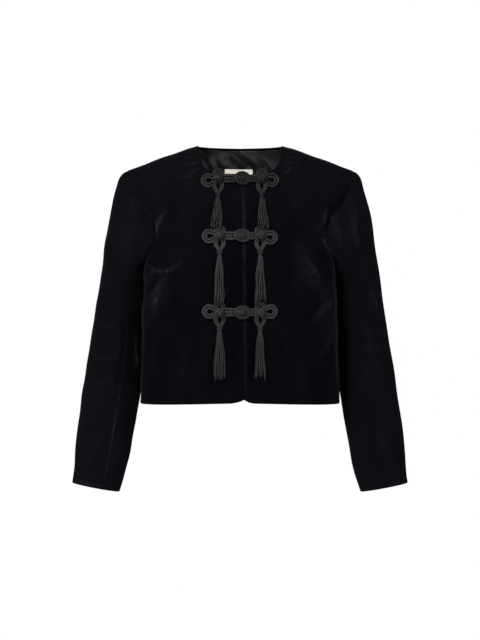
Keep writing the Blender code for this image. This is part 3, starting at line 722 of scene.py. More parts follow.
def tuckTop(points, outward, share):
    # the last row carried on past the seam and stepped in; share fades this column by column
    normals = gridNormals(points, outward)
    on = unit(points[-1] - points[-2])
    rows = [points[-1] + (on * far - normals[-1] * down) * share for far, down in clothShell["tuck"]]
    return np.concatenate([points, np.stack(rows)])


def addCloth(name, points, across, creases, seed, edgeKinds, outward, paleAndPaintedLight=clothShell["paleAndPaintedLight"]):
    # a shell on the form: the creases lift it along its normal, seams and edges turn in
    turned = np.sum(np.cross(np.gradient(points, axis=1), np.gradient(points, axis=0)) * outward) < 0
    normals = gridNormals(points, outward)
    edges = edgeDistances(points)
    lift, paintedSheenAndShade = creaseRelief(creases, across, points[..., 2])
    # the pale level by height, less the negative entries' painted shade
    rest = np.interp(points[..., 2], clothShell["restHeights"], paleAndPaintedLight)
    rest = np.maximum(rest + np.minimum(paintedSheenAndShade, 0), 0)
    lift = lift + softUneven(across, points[..., 2], seed, clothShell["uneven"])
    nearest = np.minimum.reduce(edges) / clothShell["fadeReach"]
    lift = lift * np.clip(nearest, 0, 1) ** clothShell["fadePower"]
    facing = np.zeros(points.shape[:2], bool)
    for edge, kind in zip(edges, edgeKinds):
        depth, reach, faced = clothShell["edges"][kind]
        lift = lift + turnedEdge(edge, depth, reach)
        facing = facing | (faced & (edge < clothShell["facing"]))
    spots = (points + normals * lift[..., None]).reshape(-1, 3)
    faces = gridFaces(*points.shape[:2])
    banded = facing.ravel()[faces].all(1)
    if turned:
        faces = faces[:, ::-1]
    mesh = bpy.data.meshes.new(name)
    mesh.from_pydata(spots, [], faces, shade_flat=False)
    # stored on the points for the velvet's colour: the painted sheen highlight and the pale level
    for label, values in (("paintedSheenAndShade", np.maximum(paintedSheenAndShade, 0)), ("paleAndPaintedLight", rest)):
        brushed = mesh.attributes.new(label, "FLOAT", "POINT")
        brushed.data.foreach_set("value", values.ravel().astype(np.float32))
    for finish in (velvet, satin, velvet, velvet):
        mesh.materials.append(finish)
    mesh.polygons.foreach_set("material_index", np.where(banded, 2, 0).astype(np.int32))
    made = bpy.data.objects.new(name, mesh)
    bpy.context.scene.collection.objects.link(made)
    wall = made.modifiers.new("wall", "SOLIDIFY")
    wall.thickness = bodyCut["wall"]
    wall.offset = -1.0
    wall.material_offset = 1
    wall.material_offset_rim = 0
    return made


def settle(piece, node):
    # the piece rides on the body and stands for its solid
    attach(piece, "root")
    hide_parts(node)


# creases: from x, from z, to x, to z, bow, half width, height (troughs are negative), painted
# sheen highlight (a negative one is painted shade)
frontCloth = {
    "columns": 110,
    "rows": 160,
    "columnRate": 1.25,
    "rowRate": 1.4,
    "seed": 3,
    "allowanceStart": 0.03,
    "flat": (0.30, 0.50),
    "area": 0.118,
    "right": (
        (-0.168, -0.232, -0.098, -0.205, -0.006, 0.0150, 0.0042, 0.00),
        (-0.172, -0.262, -0.120, -0.262, 0.004, 0.0140, -0.0030, 0.00),
        (-0.176, -0.330, -0.140, -0.275, 0.006, 0.0150, 0.0036, 0.10),
        (-0.150, -0.120, -0.120, -0.190, 0.008, 0.0150, -0.0030, 0.00),
        (-0.172, -0.227, -0.110, -0.221, -0.014, 0.0050, 0.0018, 0.34),
        (-0.140, -0.124, -0.162, -0.170, -0.003, 0.0055, 0.0018, 0.40),
        (-0.154, -0.142, -0.165, -0.182, 0.002, 0.0045, 0.0014, 0.34),
        (-0.164, -0.290, -0.138, -0.246, 0.003, 0.0060, 0.0018, 0.27),
        (-0.158, -0.312, -0.146, -0.272, 0.003, 0.0055, 0.0014, 0.24),
        (-0.174, -0.262, -0.162, -0.236, 0.002, 0.0045, 0.0014, 0.24),
        (-0.104, -0.0215, -0.088, -0.0210, -0.001, 0.0022, 0.0007, 0.20),
        (-0.112, -0.0335, -0.0775, -0.0310, -0.002, 0.0024, 0.0010, 0.26),
        (-0.096, -0.0505, -0.0760, -0.0450, -0.001, 0.0022, 0.0009, 0.38),
        (-0.110, -0.0610, -0.086, -0.0530, -0.002, 0.0032, 0.0009, 0.16),
        (-0.104, -0.345, -0.118, -0.470, 0.006, 0.0150, 0.0016, 0.05),
        (-0.066, -0.300, -0.072, -0.420, -0.004, 0.0130, -0.0010, 0.00),
        # painted shade between the tassels: it takes away the pale level
        (-0.014, -0.085, -0.014, -0.450, 0.000, 0.0200, 0.0000, -0.033),
    ),
    "left": (
        (0.152, -0.135, 0.128, -0.200, 0.004, 0.0140, 0.0042, 0.04),
        (0.106, -0.180, 0.168, -0.295, -0.008, 0.0160, 0.0044, 0.16),
        (0.084, -0.195, 0.146, -0.310, -0.008, 0.0150, -0.0032, 0.00),
        (0.116, -0.085, 0.096, -0.125, 0.004, 0.0140, 0.0026, 0.05),
        (0.161, -0.122, 0.146, -0.152, 0.002, 0.0045, 0.0016, 0.50),
        (0.160, -0.132, 0.166, -0.172, -0.002, 0.0045, 0.0016, 0.44),
        (0.152, -0.177, 0.177, -0.208, 0.004, 0.0042, 0.0020, 1.00),
        (0.1765, -0.206, 0.1835, -0.470, 0.000, 0.0028, 0.0004, 0.60),
        (0.124, -0.212, 0.150, -0.250, -0.003, 0.0060, 0.0014, 0.26),
        (0.140, -0.332, 0.178, -0.292, 0.004, 0.0090, 0.0020, 0.24),
        (0.176, -0.318, 0.152, -0.395, 0.006, 0.0120, 0.0020, 0.10),
        (0.086, -0.0215, 0.114, -0.0280, 0.001, 0.0022, 0.0008, 0.22),
        (0.084, -0.0320, 0.102, -0.0350, 0.001, 0.0022, 0.0008, 0.22),
        (0.083, -0.0540, 0.094, -0.0440, -0.001, 0.0026, 0.0009, 0.32),
        (0.096, -0.0420, 0.112, -0.0340, 0.001, 0.0024, 0.0006, 0.14),
        (0.112, -0.350, 0.124, -0.472, -0.006, 0.0150, 0.0016, 0.05),
        (0.0062, -0.080, 0.0080, -0.215, 0.000, 0.0030, 0.0000, 0.30),
        (0.0082, -0.190, 0.0110, -0.480, 0.000, 0.0022, 0.0000, 0.26),
        (0.070, -0.310, 0.078, -0.430, 0.004, 0.0130, -0.0010, 0.00),
        # painted shade between the tassels: it takes away the pale level
        (0.020, -0.085, 0.020, -0.450, 0.000, 0.0180, 0.0000, -0.033),
    ),
}


def addFront(hand, side):
    # one front, its columns crowded to its own edge and its rows to the neck
    rate = frontCloth["columnRate"]
    wide, tall = frontCloth["flat"]
    u = evenSteps(frontCloth["columns"], wide, [bodyCut["frontNeckShare"] ** (1 / rate)]) ** rate
    v = evenSteps(frontCloth["rows"], tall, (), frontCloth["rowRate"])
    points = frontPlace(*np.meshgrid(u, v), side)
    # the shoulder's seam allowance runs under the back
    past = (u - bodyCut["frontNeckShare"]) / frontCloth["allowanceStart"]
    shoulder = np.clip(past, clothShell["leastTuck"], 1)
    points = tuckTop(points, points * np.array((1, 1, 0)), shoulder[:, None])
    outward = points * np.array((1, 1, 0))
    kinds = ("opening", "seam", "hem", "hem")
    name = "front" + hand + "Velvet"
    seed = frontCloth["seed"] + side
    piece = addCloth(name, points, points[..., 0], frontCloth[hand.lower()], seed, kinds, outward)
    settle(piece, "front_" + hand.lower())


addFront("Right", -1)
addFront("Left", 1)

backCloth = {
    "columns": 150,
    "rows": 130,
    "rowRate": 1.4,
    "seed": 11,
    # the side seam's allowance starts below the underarm and is full a little lower
    "allowanceStart": 0.006,
    "allowanceFade": 0.010,
    "flat": (0.56, 0.50),
    "area": 0.222,
    "creases": (
        (0.150, -0.205, 0.080, -0.250, 0.006, 0.0170, 0.0042, 0.08),
        (-0.150, -0.215, -0.070, -0.255, -0.006, 0.0170, 0.0042, 0.08),
        (0.160, -0.345, 0.060, -0.330, 0.005, 0.0180, -0.0034, 0.00),
        (-0.158, -0.365, -0.050, -0.385, 0.006, 0.0180, 0.0036, 0.08),
        (0.148, -0.150, 0.098, -0.196, 0.005, 0.0080, 0.0020, 0.30),
        (-0.152, -0.158, -0.104, -0.210, -0.004, 0.0080, 0.0022, 0.30),
        (0.165, -0.262, 0.095, -0.288, 0.004, 0.0090, 0.0022, 0.30),
        (-0.168, -0.290, -0.090, -0.312, -0.005, 0.0090, 0.0022, 0.30),
        (0.060, -0.392, -0.040, -0.402, 0.006, 0.0110, 0.0018, 0.30),
        (0.020, -0.300, -0.030, -0.330, 0.004, 0.0120, -0.0014, 0.00),
        (0.100, -0.380, 0.112, -0.470, 0.004, 0.0140, 0.0016, 0.08),
        (-0.100, -0.400, -0.090, -0.474, 0.004, 0.0140, 0.0014, 0.08),
    ),
}


def backPoints():
    # the back's grid, with columns kept at its middle and both neck points
    wide, tall = backCloth["flat"]
    neck = bodyCut["backNeckShare"] / 2
    u = evenSteps(backCloth["columns"], wide, [0.5 - neck, 0.5, 0.5 + neck])
    v = evenSteps(backCloth["rows"], tall, (), backCloth["rowRate"])
    return backPlace(*np.meshgrid(u, v))


def addBack():
    # the back, with the side seams' allowance carried on under the fronts
    points = backPoints()
    start = bodyCut["underarmHeight"] - backCloth["allowanceStart"]
    below = (start - points[:, :1, 2]) / backCloth["allowanceFade"]
    points = tuckColumns(points, points * np.array((1, 1, 0)), np.clip(below, clothShell["leastTuck"], 1))
    kinds = ("seam", "seam", "hem", "hem")
    outward = points * np.array((1, 1, 0))
    across = points[..., 0]
    piece = addCloth("backVelvet", points, across, backCloth["creases"], backCloth["seed"], kinds, outward)
    settle(piece, "back")


addBack()
print("body: two fronts and a back")

# creases: from degrees round, from z, to degrees, to z, bow, half width, height, painted sheen highlight
sleeveCloth = {
    "rows": 190,
    "loopSteps": 60,
    "seed": 20,
    # a point inside the tube: share from the opposite side on each row, and one row for them all
    "insideShare": 0.6,
    "insideRow": 0.6,
    # seam allowance at the armhole: distance back, distance in
    "tuck": ((0.0100, 0.0042), (0.0060, 0.0040), (0.0025, 0.0034), (0.0006, 0.0018)),
    # columns, flat size, area, pale level away from the creases, raised on the sleeves as painted light
    "Top": (76, (0.27, 0.66), 0.128, (0.064, 0.080)),
    "Under": (44, (0.15, 0.50), 0.054, (0.076, 0.080)),
    "right": (
        (-46.0, -0.058, 46.0, -0.058, 0.000, 0.0150, 0.0034, 0.00),
        (58.0, -0.145, 80.0, -0.195, 0.003, 0.0140, 0.0038, 0.04),
        (105.0, -0.330, 96.0, -0.460, 0.004, 0.0140, 0.0042, 0.04),
        (-100.0, -0.360, -40.0, -0.385, 0.006, 0.0150, 0.0036, 0.04),
        (-105.0, -0.430, -45.0, -0.425, 0.006, 0.0150, -0.0034, 0.00),
        (98.0, -0.345, 40.0, -0.330, 0.004, 0.0070, 0.0020, 0.07),
        (104.0, -0.392, 48.0, -0.402, 0.004, 0.0075, 0.0022, 0.07),
        (100.0, -0.432, 58.0, -0.458, 0.003, 0.0070, 0.0016, 0.07),
        (40.0, -0.086, 56.0, -0.128, 0.002, 0.0065, 0.0015, 0.07),
        (-40.0, -0.100, -58.0, -0.160, 0.003, 0.0080, 0.0018, 0.07),
        (-85.0, -0.300, -30.0, -0.318, 0.005, 0.0085, 0.0020, 0.07),
        (-90.0, -0.480, -20.0, -0.470, 0.004, 0.0090, 0.0018, 0.07),
        (86.0, -0.530, 62.0, -0.600, 0.004, 0.0100, 0.0016, 0.07),
        (20.0, -0.470, 34.0, -0.560, 0.004, 0.0130, 0.0018, 0.04),
        (150.0, -0.300, 176.0, -0.340, 0.003, 0.0090, 0.0018, 0.07),
        (140.0, -0.358, 147.0, -0.418, 0.001, 0.0040, 0.0014, 0.80),
        (109.0, -0.440, 107.0, -0.628, 0.000, 0.0022, 0.0004, 0.42),
        (130.0, -0.400, 172.0, -0.420, 0.003, 0.0090, 0.0018, 0.07),
        (30.0, -0.6330, 118.0, -0.6430, 0.000, 0.0032, 0.0003, 0.30),
    ),
    "left": (
        (-46.0, -0.058, 46.0, -0.058, 0.000, 0.0150, 0.0034, 0.00),
        (52.0, -0.130, 70.0, -0.195, 0.003, 0.0140, 0.0040, 0.04),
        (48.0, -0.126, 66.0, -0.192, 0.002, 0.0042, 0.0014, 0.20),
        (66.0, -0.122, 82.0, -0.166, 0.002, 0.0042, 0.0014, 0.17),
        (60.0, -0.262, 43.0, -0.324, 0.002, 0.0045, 0.0014, 0.18),
        (80.0, -0.330, 70.0, -0.420, 0.003, 0.0055, 0.0012, 0.10),
        (30.0, -0.265, 62.0, -0.330, 0.004, 0.0150, 0.0036, 0.04),
        (-100.0, -0.370, -42.0, -0.400, 0.006, 0.0150, 0.0036, 0.04),
        (-105.0, -0.440, -45.0, -0.445, 0.006, 0.0150, -0.0034, 0.00),
        (84.0, -0.146, 96.0, -0.196, -0.003, 0.0070, 0.0022, 0.07),
        (100.0, -0.338, 44.0, -0.352, 0.004, 0.0070, 0.0020, 0.07),
        (106.0, -0.380, 50.0, -0.382, 0.004, 0.0075, 0.0022, 0.07),
        (98.0, -0.424, 60.0, -0.446, 0.003, 0.0070, 0.0018, 0.07),
        (36.0, -0.090, 50.0, -0.135, 0.002, 0.0065, 0.0015, 0.07),
        (-44.0, -0.104, -60.0, -0.158, 0.003, 0.0080, 0.0018, 0.07),
        (-88.0, -0.310, -34.0, -0.326, 0.005, 0.0085, 0.0020, 0.07),
        (-86.0, -0.490, -16.0, -0.482, 0.004, 0.0090, 0.0018, 0.07),
        (80.0, -0.540, 58.0, -0.606, 0.004, 0.0100, 0.0016, 0.07),
        (22.0, -0.480, 40.0, -0.570, 0.004, 0.0130, 0.0018, 0.04),
        (148.0, -0.310, 174.0, -0.346, 0.003, 0.0090, 0.0018, 0.07),
        (132.0, -0.410, 170.0, -0.428, 0.003, 0.0090, 0.0018, 0.07),
        (168.0, -0.325, 172.0, -0.420, 0.000, 0.0190, 0.0048, 0.00),
        (10.0, -0.6310, 74.0, -0.6380, 0.000, 0.0032, 0.0003, 0.22),
    ),
}


def addSleeve(part, hand, side, span):
    # one sleeve panel between two seam lines, mirrored for the right; the under panel's side
    # allowance is carried on under the top panel
    columns, flat, area, paleAndPaintedLight = sleeveCloth[part]
    gap = bodyCut["seamGap"] / sleeveCut["radius"] / 2
    u = evenSteps(columns, sleeveCut["radius"] * (span[1] - span[0]))
    u, v = np.meshgrid(u, evenSteps(sleeveCloth["rows"], flat[1]))
    turn = span[0] + gap + (span[1] - span[0] - 2 * gap) * u
    turn = np.where(turn > math.pi, turn - 2 * math.pi, turn)
    points = sleevePlace(turn, v)
    loop = armholePoint(np.linspace(-math.pi, math.pi, sleeveCloth["loopSteps"]))[0].mean(0)
    level = np.array((1, 1, 0))
    if part == "Under":
        inside = sleeveCloth["insideShare"]
        middle = points.mean(1, keepdims=True) * (1 - inside)
        middle = middle + sleevePlace(0 * turn[:, :1], v[:, :1]) * inside
        points = tuckColumns(points, (points - middle) * level, np.ones((len(points), 1)))
        turn = np.pad(turn, ((0, 0), (len(clothShell["tuck"]),) * 2), mode="edge")
    # the seam allowance runs back under the body from the armhole, drawn in to the loop's middle
    leave = unit(points[1] - points[0])
    inward = unit(loop - points[0])
    inward = unit(inward - leave * np.sum(inward * leave, -1, keepdims=True))
    tucks = [points[0] - leave * back + inward * depth for back, depth in sleeveCloth["tuck"]]
    points = np.concatenate([np.stack(tucks), points])
    turn = np.concatenate([turn[:1]] * len(tucks) + [turn])
    flip = np.array((side, 1, 1))
    points = points * flip
    far = np.full((1, 1), math.pi if part == "Top" else 0.0)
    opposite = sleevePlace(far, np.full((1, 1), sleeveCloth["insideRow"])) * flip
    metres = sleeveCut["radius"] * math.pi / 180
    creases = np.array(sleeveCloth[hand.lower()]) * np.array((metres, 1, metres, 1, 1, 1, 1, 1))
    kinds = ("seam", "seam", "seam", "hem")
    name = "sleeve" + part + hand + "Velvet"
    around = np.where(turn < sleeveCut["backSeam"], turn + 2 * math.pi, turn) * sleeveCut["radius"]
    seed = sleeveCloth["seed"] + side
    piece = addCloth(name, points, around, creases, seed, kinds, (points - opposite) * level, paleAndPaintedLight)
    settle(piece, "sleeve_" + part.lower() + "_" + hand.lower())


topSpan = (sleeveCut["backSeam"], sleeveCut["frontSeam"])
underSpan = (sleeveCut["frontSeam"], sleeveCut["backSeam"] + 2 * math.pi)
for hand, side in (("Right", -1), ("Left", 1)):
    addSleeve("Top", hand, side, topSpan)
    addSleeve("Under", hand, side, underSpan)
print("sleeves: two tops and two unders")

# the lining's own wrinkles stand up into the jacket
liningCloth = {
    "wall": 0.0008,
    "gap": 0.0005,
    "slack": 0.0018,
    "uneven": 0.0004,
    "seed": 31,
    # distance below the neck edge, and rows and columns left free at the hem and sides
    "facing": 0.0030,
    "inset": (3, 4),
    "flat": (0.54, 0.48),
    "area": 0.205,
    "creases": (
        (-0.026, -0.014, 0.016, -0.060, 0.003, 0.0070, 0.0038, 0.00),
        (-0.010, -0.010, 0.030, -0.050, 0.004, 0.0060, 0.0034, 0.00),
        (0.014, -0.012, 0.036, -0.046, -0.003, 0.0055, 0.0030, 0.00),
        (-0.052, -0.016, -0.040, -0.056, 0.003, 0.0080, 0.0032, 0.00),
        (-0.070, -0.020, -0.052, -0.066, 0.003, 0.0070, 0.0028, 0.00),
        (0.050, -0.022, 0.066, -0.060, -0.004, 0.0090, 0.0034, 0.00),
        (0.040, -0.016, 0.052, -0.034, 0.002, 0.0050, 0.0022, 0.00),
        (-0.034, -0.010, -0.030, -0.026, 0.001, 0.0040, 0.0016, 0.00),
        (0.004, -0.008, 0.008, -0.022, 0.001, 0.0040, 0.0016, 0.00),
        (0.060, -0.120, -0.050, -0.200, 0.010, 0.0160, 0.0030, 0.00),
        (-0.090, -0.150, -0.030, -0.280, 0.010, 0.0160, 0.0030, 0.00),
        (0.100, -0.200, 0.060, -0.340, 0.010, 0.0160, 0.0030, 0.00),
    ),
}


labelRibbon = {
    "centre": (-0.0022, -0.0461),
    "width": 0.0547,
    "height": 0.020,
    "wall": 0.0006,
    "gap": 0.0003,
    "turn": 0.0006,
    "bulge": 0.0007,
    "grid": (50, 20),
    # the bulge's share and number of waves along the ribbon
    "wave": (0.3, 7.0),
    # the lining's wrinkles round it: reach, share at its edge, least share
    "calm": (0.012, 0.3, 0.06),
}


def liningDepth(x, z, nearest):
    # distance of the lining's inner face below the velvet's form; it lies flat round the label
    outer = creaseRelief(backCloth["creases"], x, z)[0]
    outer = outer + softUneven(x, z, backCloth["seed"], clothShell["uneven"])
    outer = outer * np.clip(nearest / clothShell["fadeReach"], 0, 1) ** clothShell["fadePower"]
    folds = creaseRelief(liningCloth["creases"], x, z)[0]
    wide = np.abs(x - labelRibbon["centre"][0]) - labelRibbon["width"] / 2
    tall = np.abs(z - labelRibbon["centre"][1]) - labelRibbon["height"] / 2
    reach, start, least = labelRibbon["calm"]
    clear = np.clip(np.maximum(wide, tall) / reach + start, least, 1)
    inner = np.maximum(folds, 0) * clear + softUneven(x, z, liningCloth["seed"], liningCloth["uneven"])
    return bodyCut["wall"] + liningCloth["gap"] + liningCloth["slack"] + inner - outer


def addLining():
    # the back's own points one step inside its edges, moved in; wrinkles stand inwards
    points = backPoints()
    normals = gridNormals(points, points * np.array((1, 1, 0)))
    edges = edgeDistances(points)
    depth = liningDepth(points[..., 0], points[..., 2], np.minimum.reduce(edges))
    below = np.sum(edges[3][:, points.shape[1] // 2] > liningCloth["facing"])
    rows, columns = liningCloth["inset"]
    spots = (points - normals * depth[..., None])[rows:below, columns:-columns]
    mesh = bpy.data.meshes.new("backSatinLining")
    faces = gridFaces(*spots.shape[:2])
    lookOut = np.sum(gridNormals(spots) * spots * np.array((1, 1, 0))) > 0
    mesh.from_pydata(spots.reshape(-1, 3), [], faces if lookOut else faces[:, ::-1], shade_flat=False)
    mesh.materials.append(satin)
    piece = bpy.data.objects.new("backSatinLining", mesh)
    bpy.context.scene.collection.objects.link(piece)
    wall = piece.modifiers.new("wall", "SOLIDIFY")
    wall.thickness = liningCloth["wall"]
    wall.offset = 1.0
    settle(piece, "back_lining")


addLining()


def addLabel():
    # a ribbon on the lining's own face: its edges turn back to it and its middle stands off a little
    columns, rows = labelRibbon["grid"]
    a, b = np.meshgrid(evenSteps(columns, labelRibbon["width"]), evenSteps(rows, labelRibbon["height"]))
    x = labelRibbon["centre"][0] + (0.5 - a) * labelRibbon["width"]
    z = labelRibbon["centre"][1] + (b - 0.5) * labelRibbon["height"]
    base = bodyPoint(backAngle(x, z), z)
    normals = gridNormals(base, base * np.array((1, 1, 0)))
    edge = np.minimum.reduce(edgeDistances(base))
    stand = labelRibbon["gap"] + labelRibbon["wall"] + labelRibbon["turn"]
    share, waves = labelRibbon["wave"]
    stand = stand + labelRibbon["bulge"] * np.sin(math.pi * b) * (1 - share + share * np.cos(waves * a))
    stand = stand + turnedEdge(edge, labelRibbon["turn"], labelRibbon["turn"])
    depth = liningDepth(x, z, np.full_like(x, 1.0)) + stand
    spots = base - normals * depth[..., None]
    faces = gridFaces(*spots.shape[:2])
    faces = faces if np.mean(gridNormals(spots)[..., 1]) < 0 else faces[:, ::-1]
    mesh = bpy.data.meshes.new("bareLabel")
    mesh.from_pydata(spots.reshape(-1, 3), [], faces, shade_flat=False)
    mesh.materials.append(cream)
    piece = bpy.data.objects.new("bareLabel", mesh)
    bpy.context.scene.collection.objects.link(piece)
    wall = piece.modifiers.new("wall", "SOLIDIFY")
    wall.thickness = labelRibbon["wall"]
    wall.offset = -1.0
    settle(piece, "label")


addLabel()
print("inside the neck: lining and label")


def frontSurface(x, z):
    # the front's form at a distance from the middle plane and a height
    return bodyPoint(frontAngle(x, z), z)


def layOnFront(spots):
    # a flat-built point (across, in, up) goes to the front's point, moved out along the normal there
    x = spots[:, 0]
    z = spots[:, 2]
    step = 0.004
    across = frontSurface(x + step, z) - frontSurface(x - step, z)
    up = frontSurface(x, z + step) - frontSurface(x, z - step)
    return frontSurface(x, z) - unit(np.cross(across, up)) * spots[:, 1:2]


def smoothPath(points, step):
    # Catmull-Rom curve through the points, read again at even steps of its length
    fine = 20
    leastPoints = 6
    p = np.asarray(points, float)
    p = np.vstack([2 * p[0] - p[1], p, 2 * p[-1] - p[-2]])
    t = np.linspace(0, len(p) - 3, fine * (len(p) - 3) + 1)
    i = np.minimum(t.astype(int), len(p) - 4)
    f = (t - i)[:, None]
    a, b, c, d = p[i], p[i + 1], p[i + 2], p[i + 3]
    curve = 0.5 * (2 * b + (c - a) * f + (2 * a - 5 * b + 4 * c - d) * f**2 + (3 * b - a - 3 * c + d) * f**3)
    length = np.concatenate([[0], np.cumsum(np.linalg.norm(np.diff(curve, axis=0), axis=1))])
    at = np.linspace(0, length[-1], max(leastPoints, int(round(length[-1] / step)) + 1))
    return np.stack([np.interp(at, length, curve[:, k]) for k in range(3)], -1)


def pathFrame(path, out):
    # up and side directions of paths whose up leans to the given out direction
    tangent = unit(np.gradient(path, axis=-2))
    side = unit(np.cross(tangent, out))
    return np.cross(side, tangent), side


def runLength(path):
    # length along each path, summed point by point
    gaps = np.linalg.norm(np.diff(path, axis=-2), axis=-1)
    return np.concatenate([np.zeros_like(gaps[..., :1]), np.cumsum(gaps, -1)], -1)


def sweep(path, out, radius, columns, relief=None):
    # rings of the given radius round each path, turned from its up direction towards its side;
    # path is (n, rows, 3), and relief gives the radius a factor from length and angle
    up, side = pathFrame(path, out)
    angle = np.linspace(-math.pi, math.pi, columns, endpoint=False)
    length = runLength(path)
    factor = relief(length[..., None], angle) if relief else np.ones(columns)
    size = (np.asarray(radius) + 0 * length)[..., None] * factor
    rings = path[..., None, :] + (size * np.cos(angle))[..., None] * up[..., None, :]
    return rings + (size * np.sin(angle))[..., None] * side[..., None, :], length


def tubeParts(rings, length, turnLength):
    # points, faces and thread map of capped tubes; rings is (n, rows, columns, 3)
    count, rows, columns = rings.shape[:3]
    quads = gridFaces(rows, columns, True)
    first = np.arange(count)[:, None] * rows * columns
    faces = (first[:, :, None] + quads).reshape(-1, 4)
    ring = np.arange(columns)
    caps = np.concatenate([first + ring[::-1], first + (rows - 1) * columns + ring])
    c = np.tile(np.arange(columns), rows - 1) / columns
    low = np.repeat(length[:, :-1], columns, 1) / turnLength
    high = np.repeat(length[:, 1:], columns, 1) / turnLength
    c = np.broadcast_to(c, low.shape)
    near = c + 1 / columns
    thread = np.stack([np.stack([c, low], -1), np.stack([near, low], -1),
                       np.stack([near, high], -1), np.stack([c, high], -1)], -2)
    return rings.reshape(-1, 3), faces, caps, thread.reshape(-1, 2)


def addTubes(name, groups):
    # joins groups of tubes built flat into one mesh and lays it on the front
    spots = []
    faces = []
    caps = []
    threads = []
    first = 0
    for points, quads, ends, thread in groups:
        spots.append(points)
        faces += (quads + first).tolist()
        caps += (ends + first).tolist()
        threads.append(thread)
        first += len(points)
    spots = np.concatenate(spots)
    mesh = bpy.data.meshes.new(name)
    mesh.from_pydata(layOnFront(spots), [], faces + caps, shade_flat=False)
    blank = np.zeros((sum(len(cap) for cap in caps), 2))
    layer = mesh.uv_layers.new(name="thread")
    layer.uv.foreach_set("vector", np.concatenate(threads + [blank]).ravel().astype(np.float32))
    mesh.materials.append(cord)
    made = bpy.data.objects.new(name, mesh)
    bpy.context.scene.collection.objects.link(made)
    return made


frogTrim = {
    # row name, ball from the middle plane, ball height, drop to the tassel neck, tassel tips,
    # lean of the right and left outer lobes in degrees, drift of the right and left tassels' tips,
    # how far the tips ride out over the next row
    "rows": (
        ("top", 0.0405, -0.0640, 0.0342, -0.1565, (-12, -9), (0.0036, 0.0030), 0.0032),
        ("mid", 0.0375, -0.1720, 0.0345, -0.2935, (-2, -10), (0.0004, 0.0006), 0.0022),
        ("low", 0.0375, -0.3135, 0.0345, -0.4345, (4, 4), (0.0004, 0.0004), 0.0),
    ),
    "gap": 0.0005,
    "step": 0.0008,
    "loopSteps": 25,
    "sides": 12,
    "turnLength": 0.004,
    # ridges of the plait: spacing, depth, slant, middle level, depth and half width of the groove
    "plait": (0.0050, 0.30, 1.5, 0.75, 0.10, 0.3),
    # cord radius and spacing of each form, and how many lie abreast
    "upperCords": (0.0021, 0.0042, 2),
    "outerCords": (0.0027, 0.0053, 2),
    "legCords": (0.0022, 0.0043, 2),
    "loopCords": (0.0020, 0.0034, 3),
    "barCords": (0.0029, 0.0056, 3),
    "linkCords": (0.0025, 0.0048, 3),
    "legGather": 0.4,
    # how far the bar and the link run in under the ball, how far the link starts from the loop,
    # where the bar ends beside the opening
    "underBall": 0.002,
    "linkStart": 0.003,
    "barEnd": 0.0090,
    # middle, half length, half height and rise of the loop round the knot
    "loop": (0.0048, 0.0104, 0.0076, 0.0064),
    # outward and up from the ball, in millimetres
    "upper": ((-1.6, 2.0), (-5.6, 6.6), (-6.6, 11.0), (-3.6, 14.4), (0.0, 15.2), (3.6, 14.4), (6.6, 11.0),
              (5.6, 6.6), (1.6, 2.0)),
    "outer": ((2.0, 2.2), (9.0, 5.0), (16.5, 8.4), (23.6, 7.8), (28.0, 0.2), (23.6, -7.8), (16.5, -8.6),
              (9.0, -5.2), (2.0, -2.2)),
    "leg": ((1.0, -3.0), (5.2, -8.0), (7.4, -13.2), (6.0, -18.6), (2.8, -24.2), (1.6, -29.0)),
}
outOfCloth = np.array((0.0, -1.0, 0.0))
millimetre = 0.001


def plaitRelief(length, angle):
    # slanting ridges that meet in a V along the cord's face, with a groove down the middle
    pitch, depth, slant, level, groove, half = frogTrim["plait"]
    ridge = np.abs(np.sin(math.pi * length / pitch + slant * np.abs(angle)))
    return 1 + depth * (ridge - level) - groove * np.exp(-((angle / half) ** 2))


def plaitedCords(points, radius, spacing, abreast, gather=1.0):
    # cords side by side along one smooth path; gather draws them together towards its end
    path = smoothPath(points, frogTrim["step"])
    side = pathFrame(path, outOfCloth)[1]
    spread = np.linspace(0, 1, len(path))[:, None] ** 2 * (gather - 1) + 1
    shifts = (np.arange(abreast) - (abreast - 1) / 2)[:, None, None] * spacing
    paths = path + side * spread * shifts
    rings, length = sweep(paths, outOfCloth, radius, frogTrim["sides"], plaitRelief)
    return [tubeParts(rings, length, frogTrim["turnLength"])]


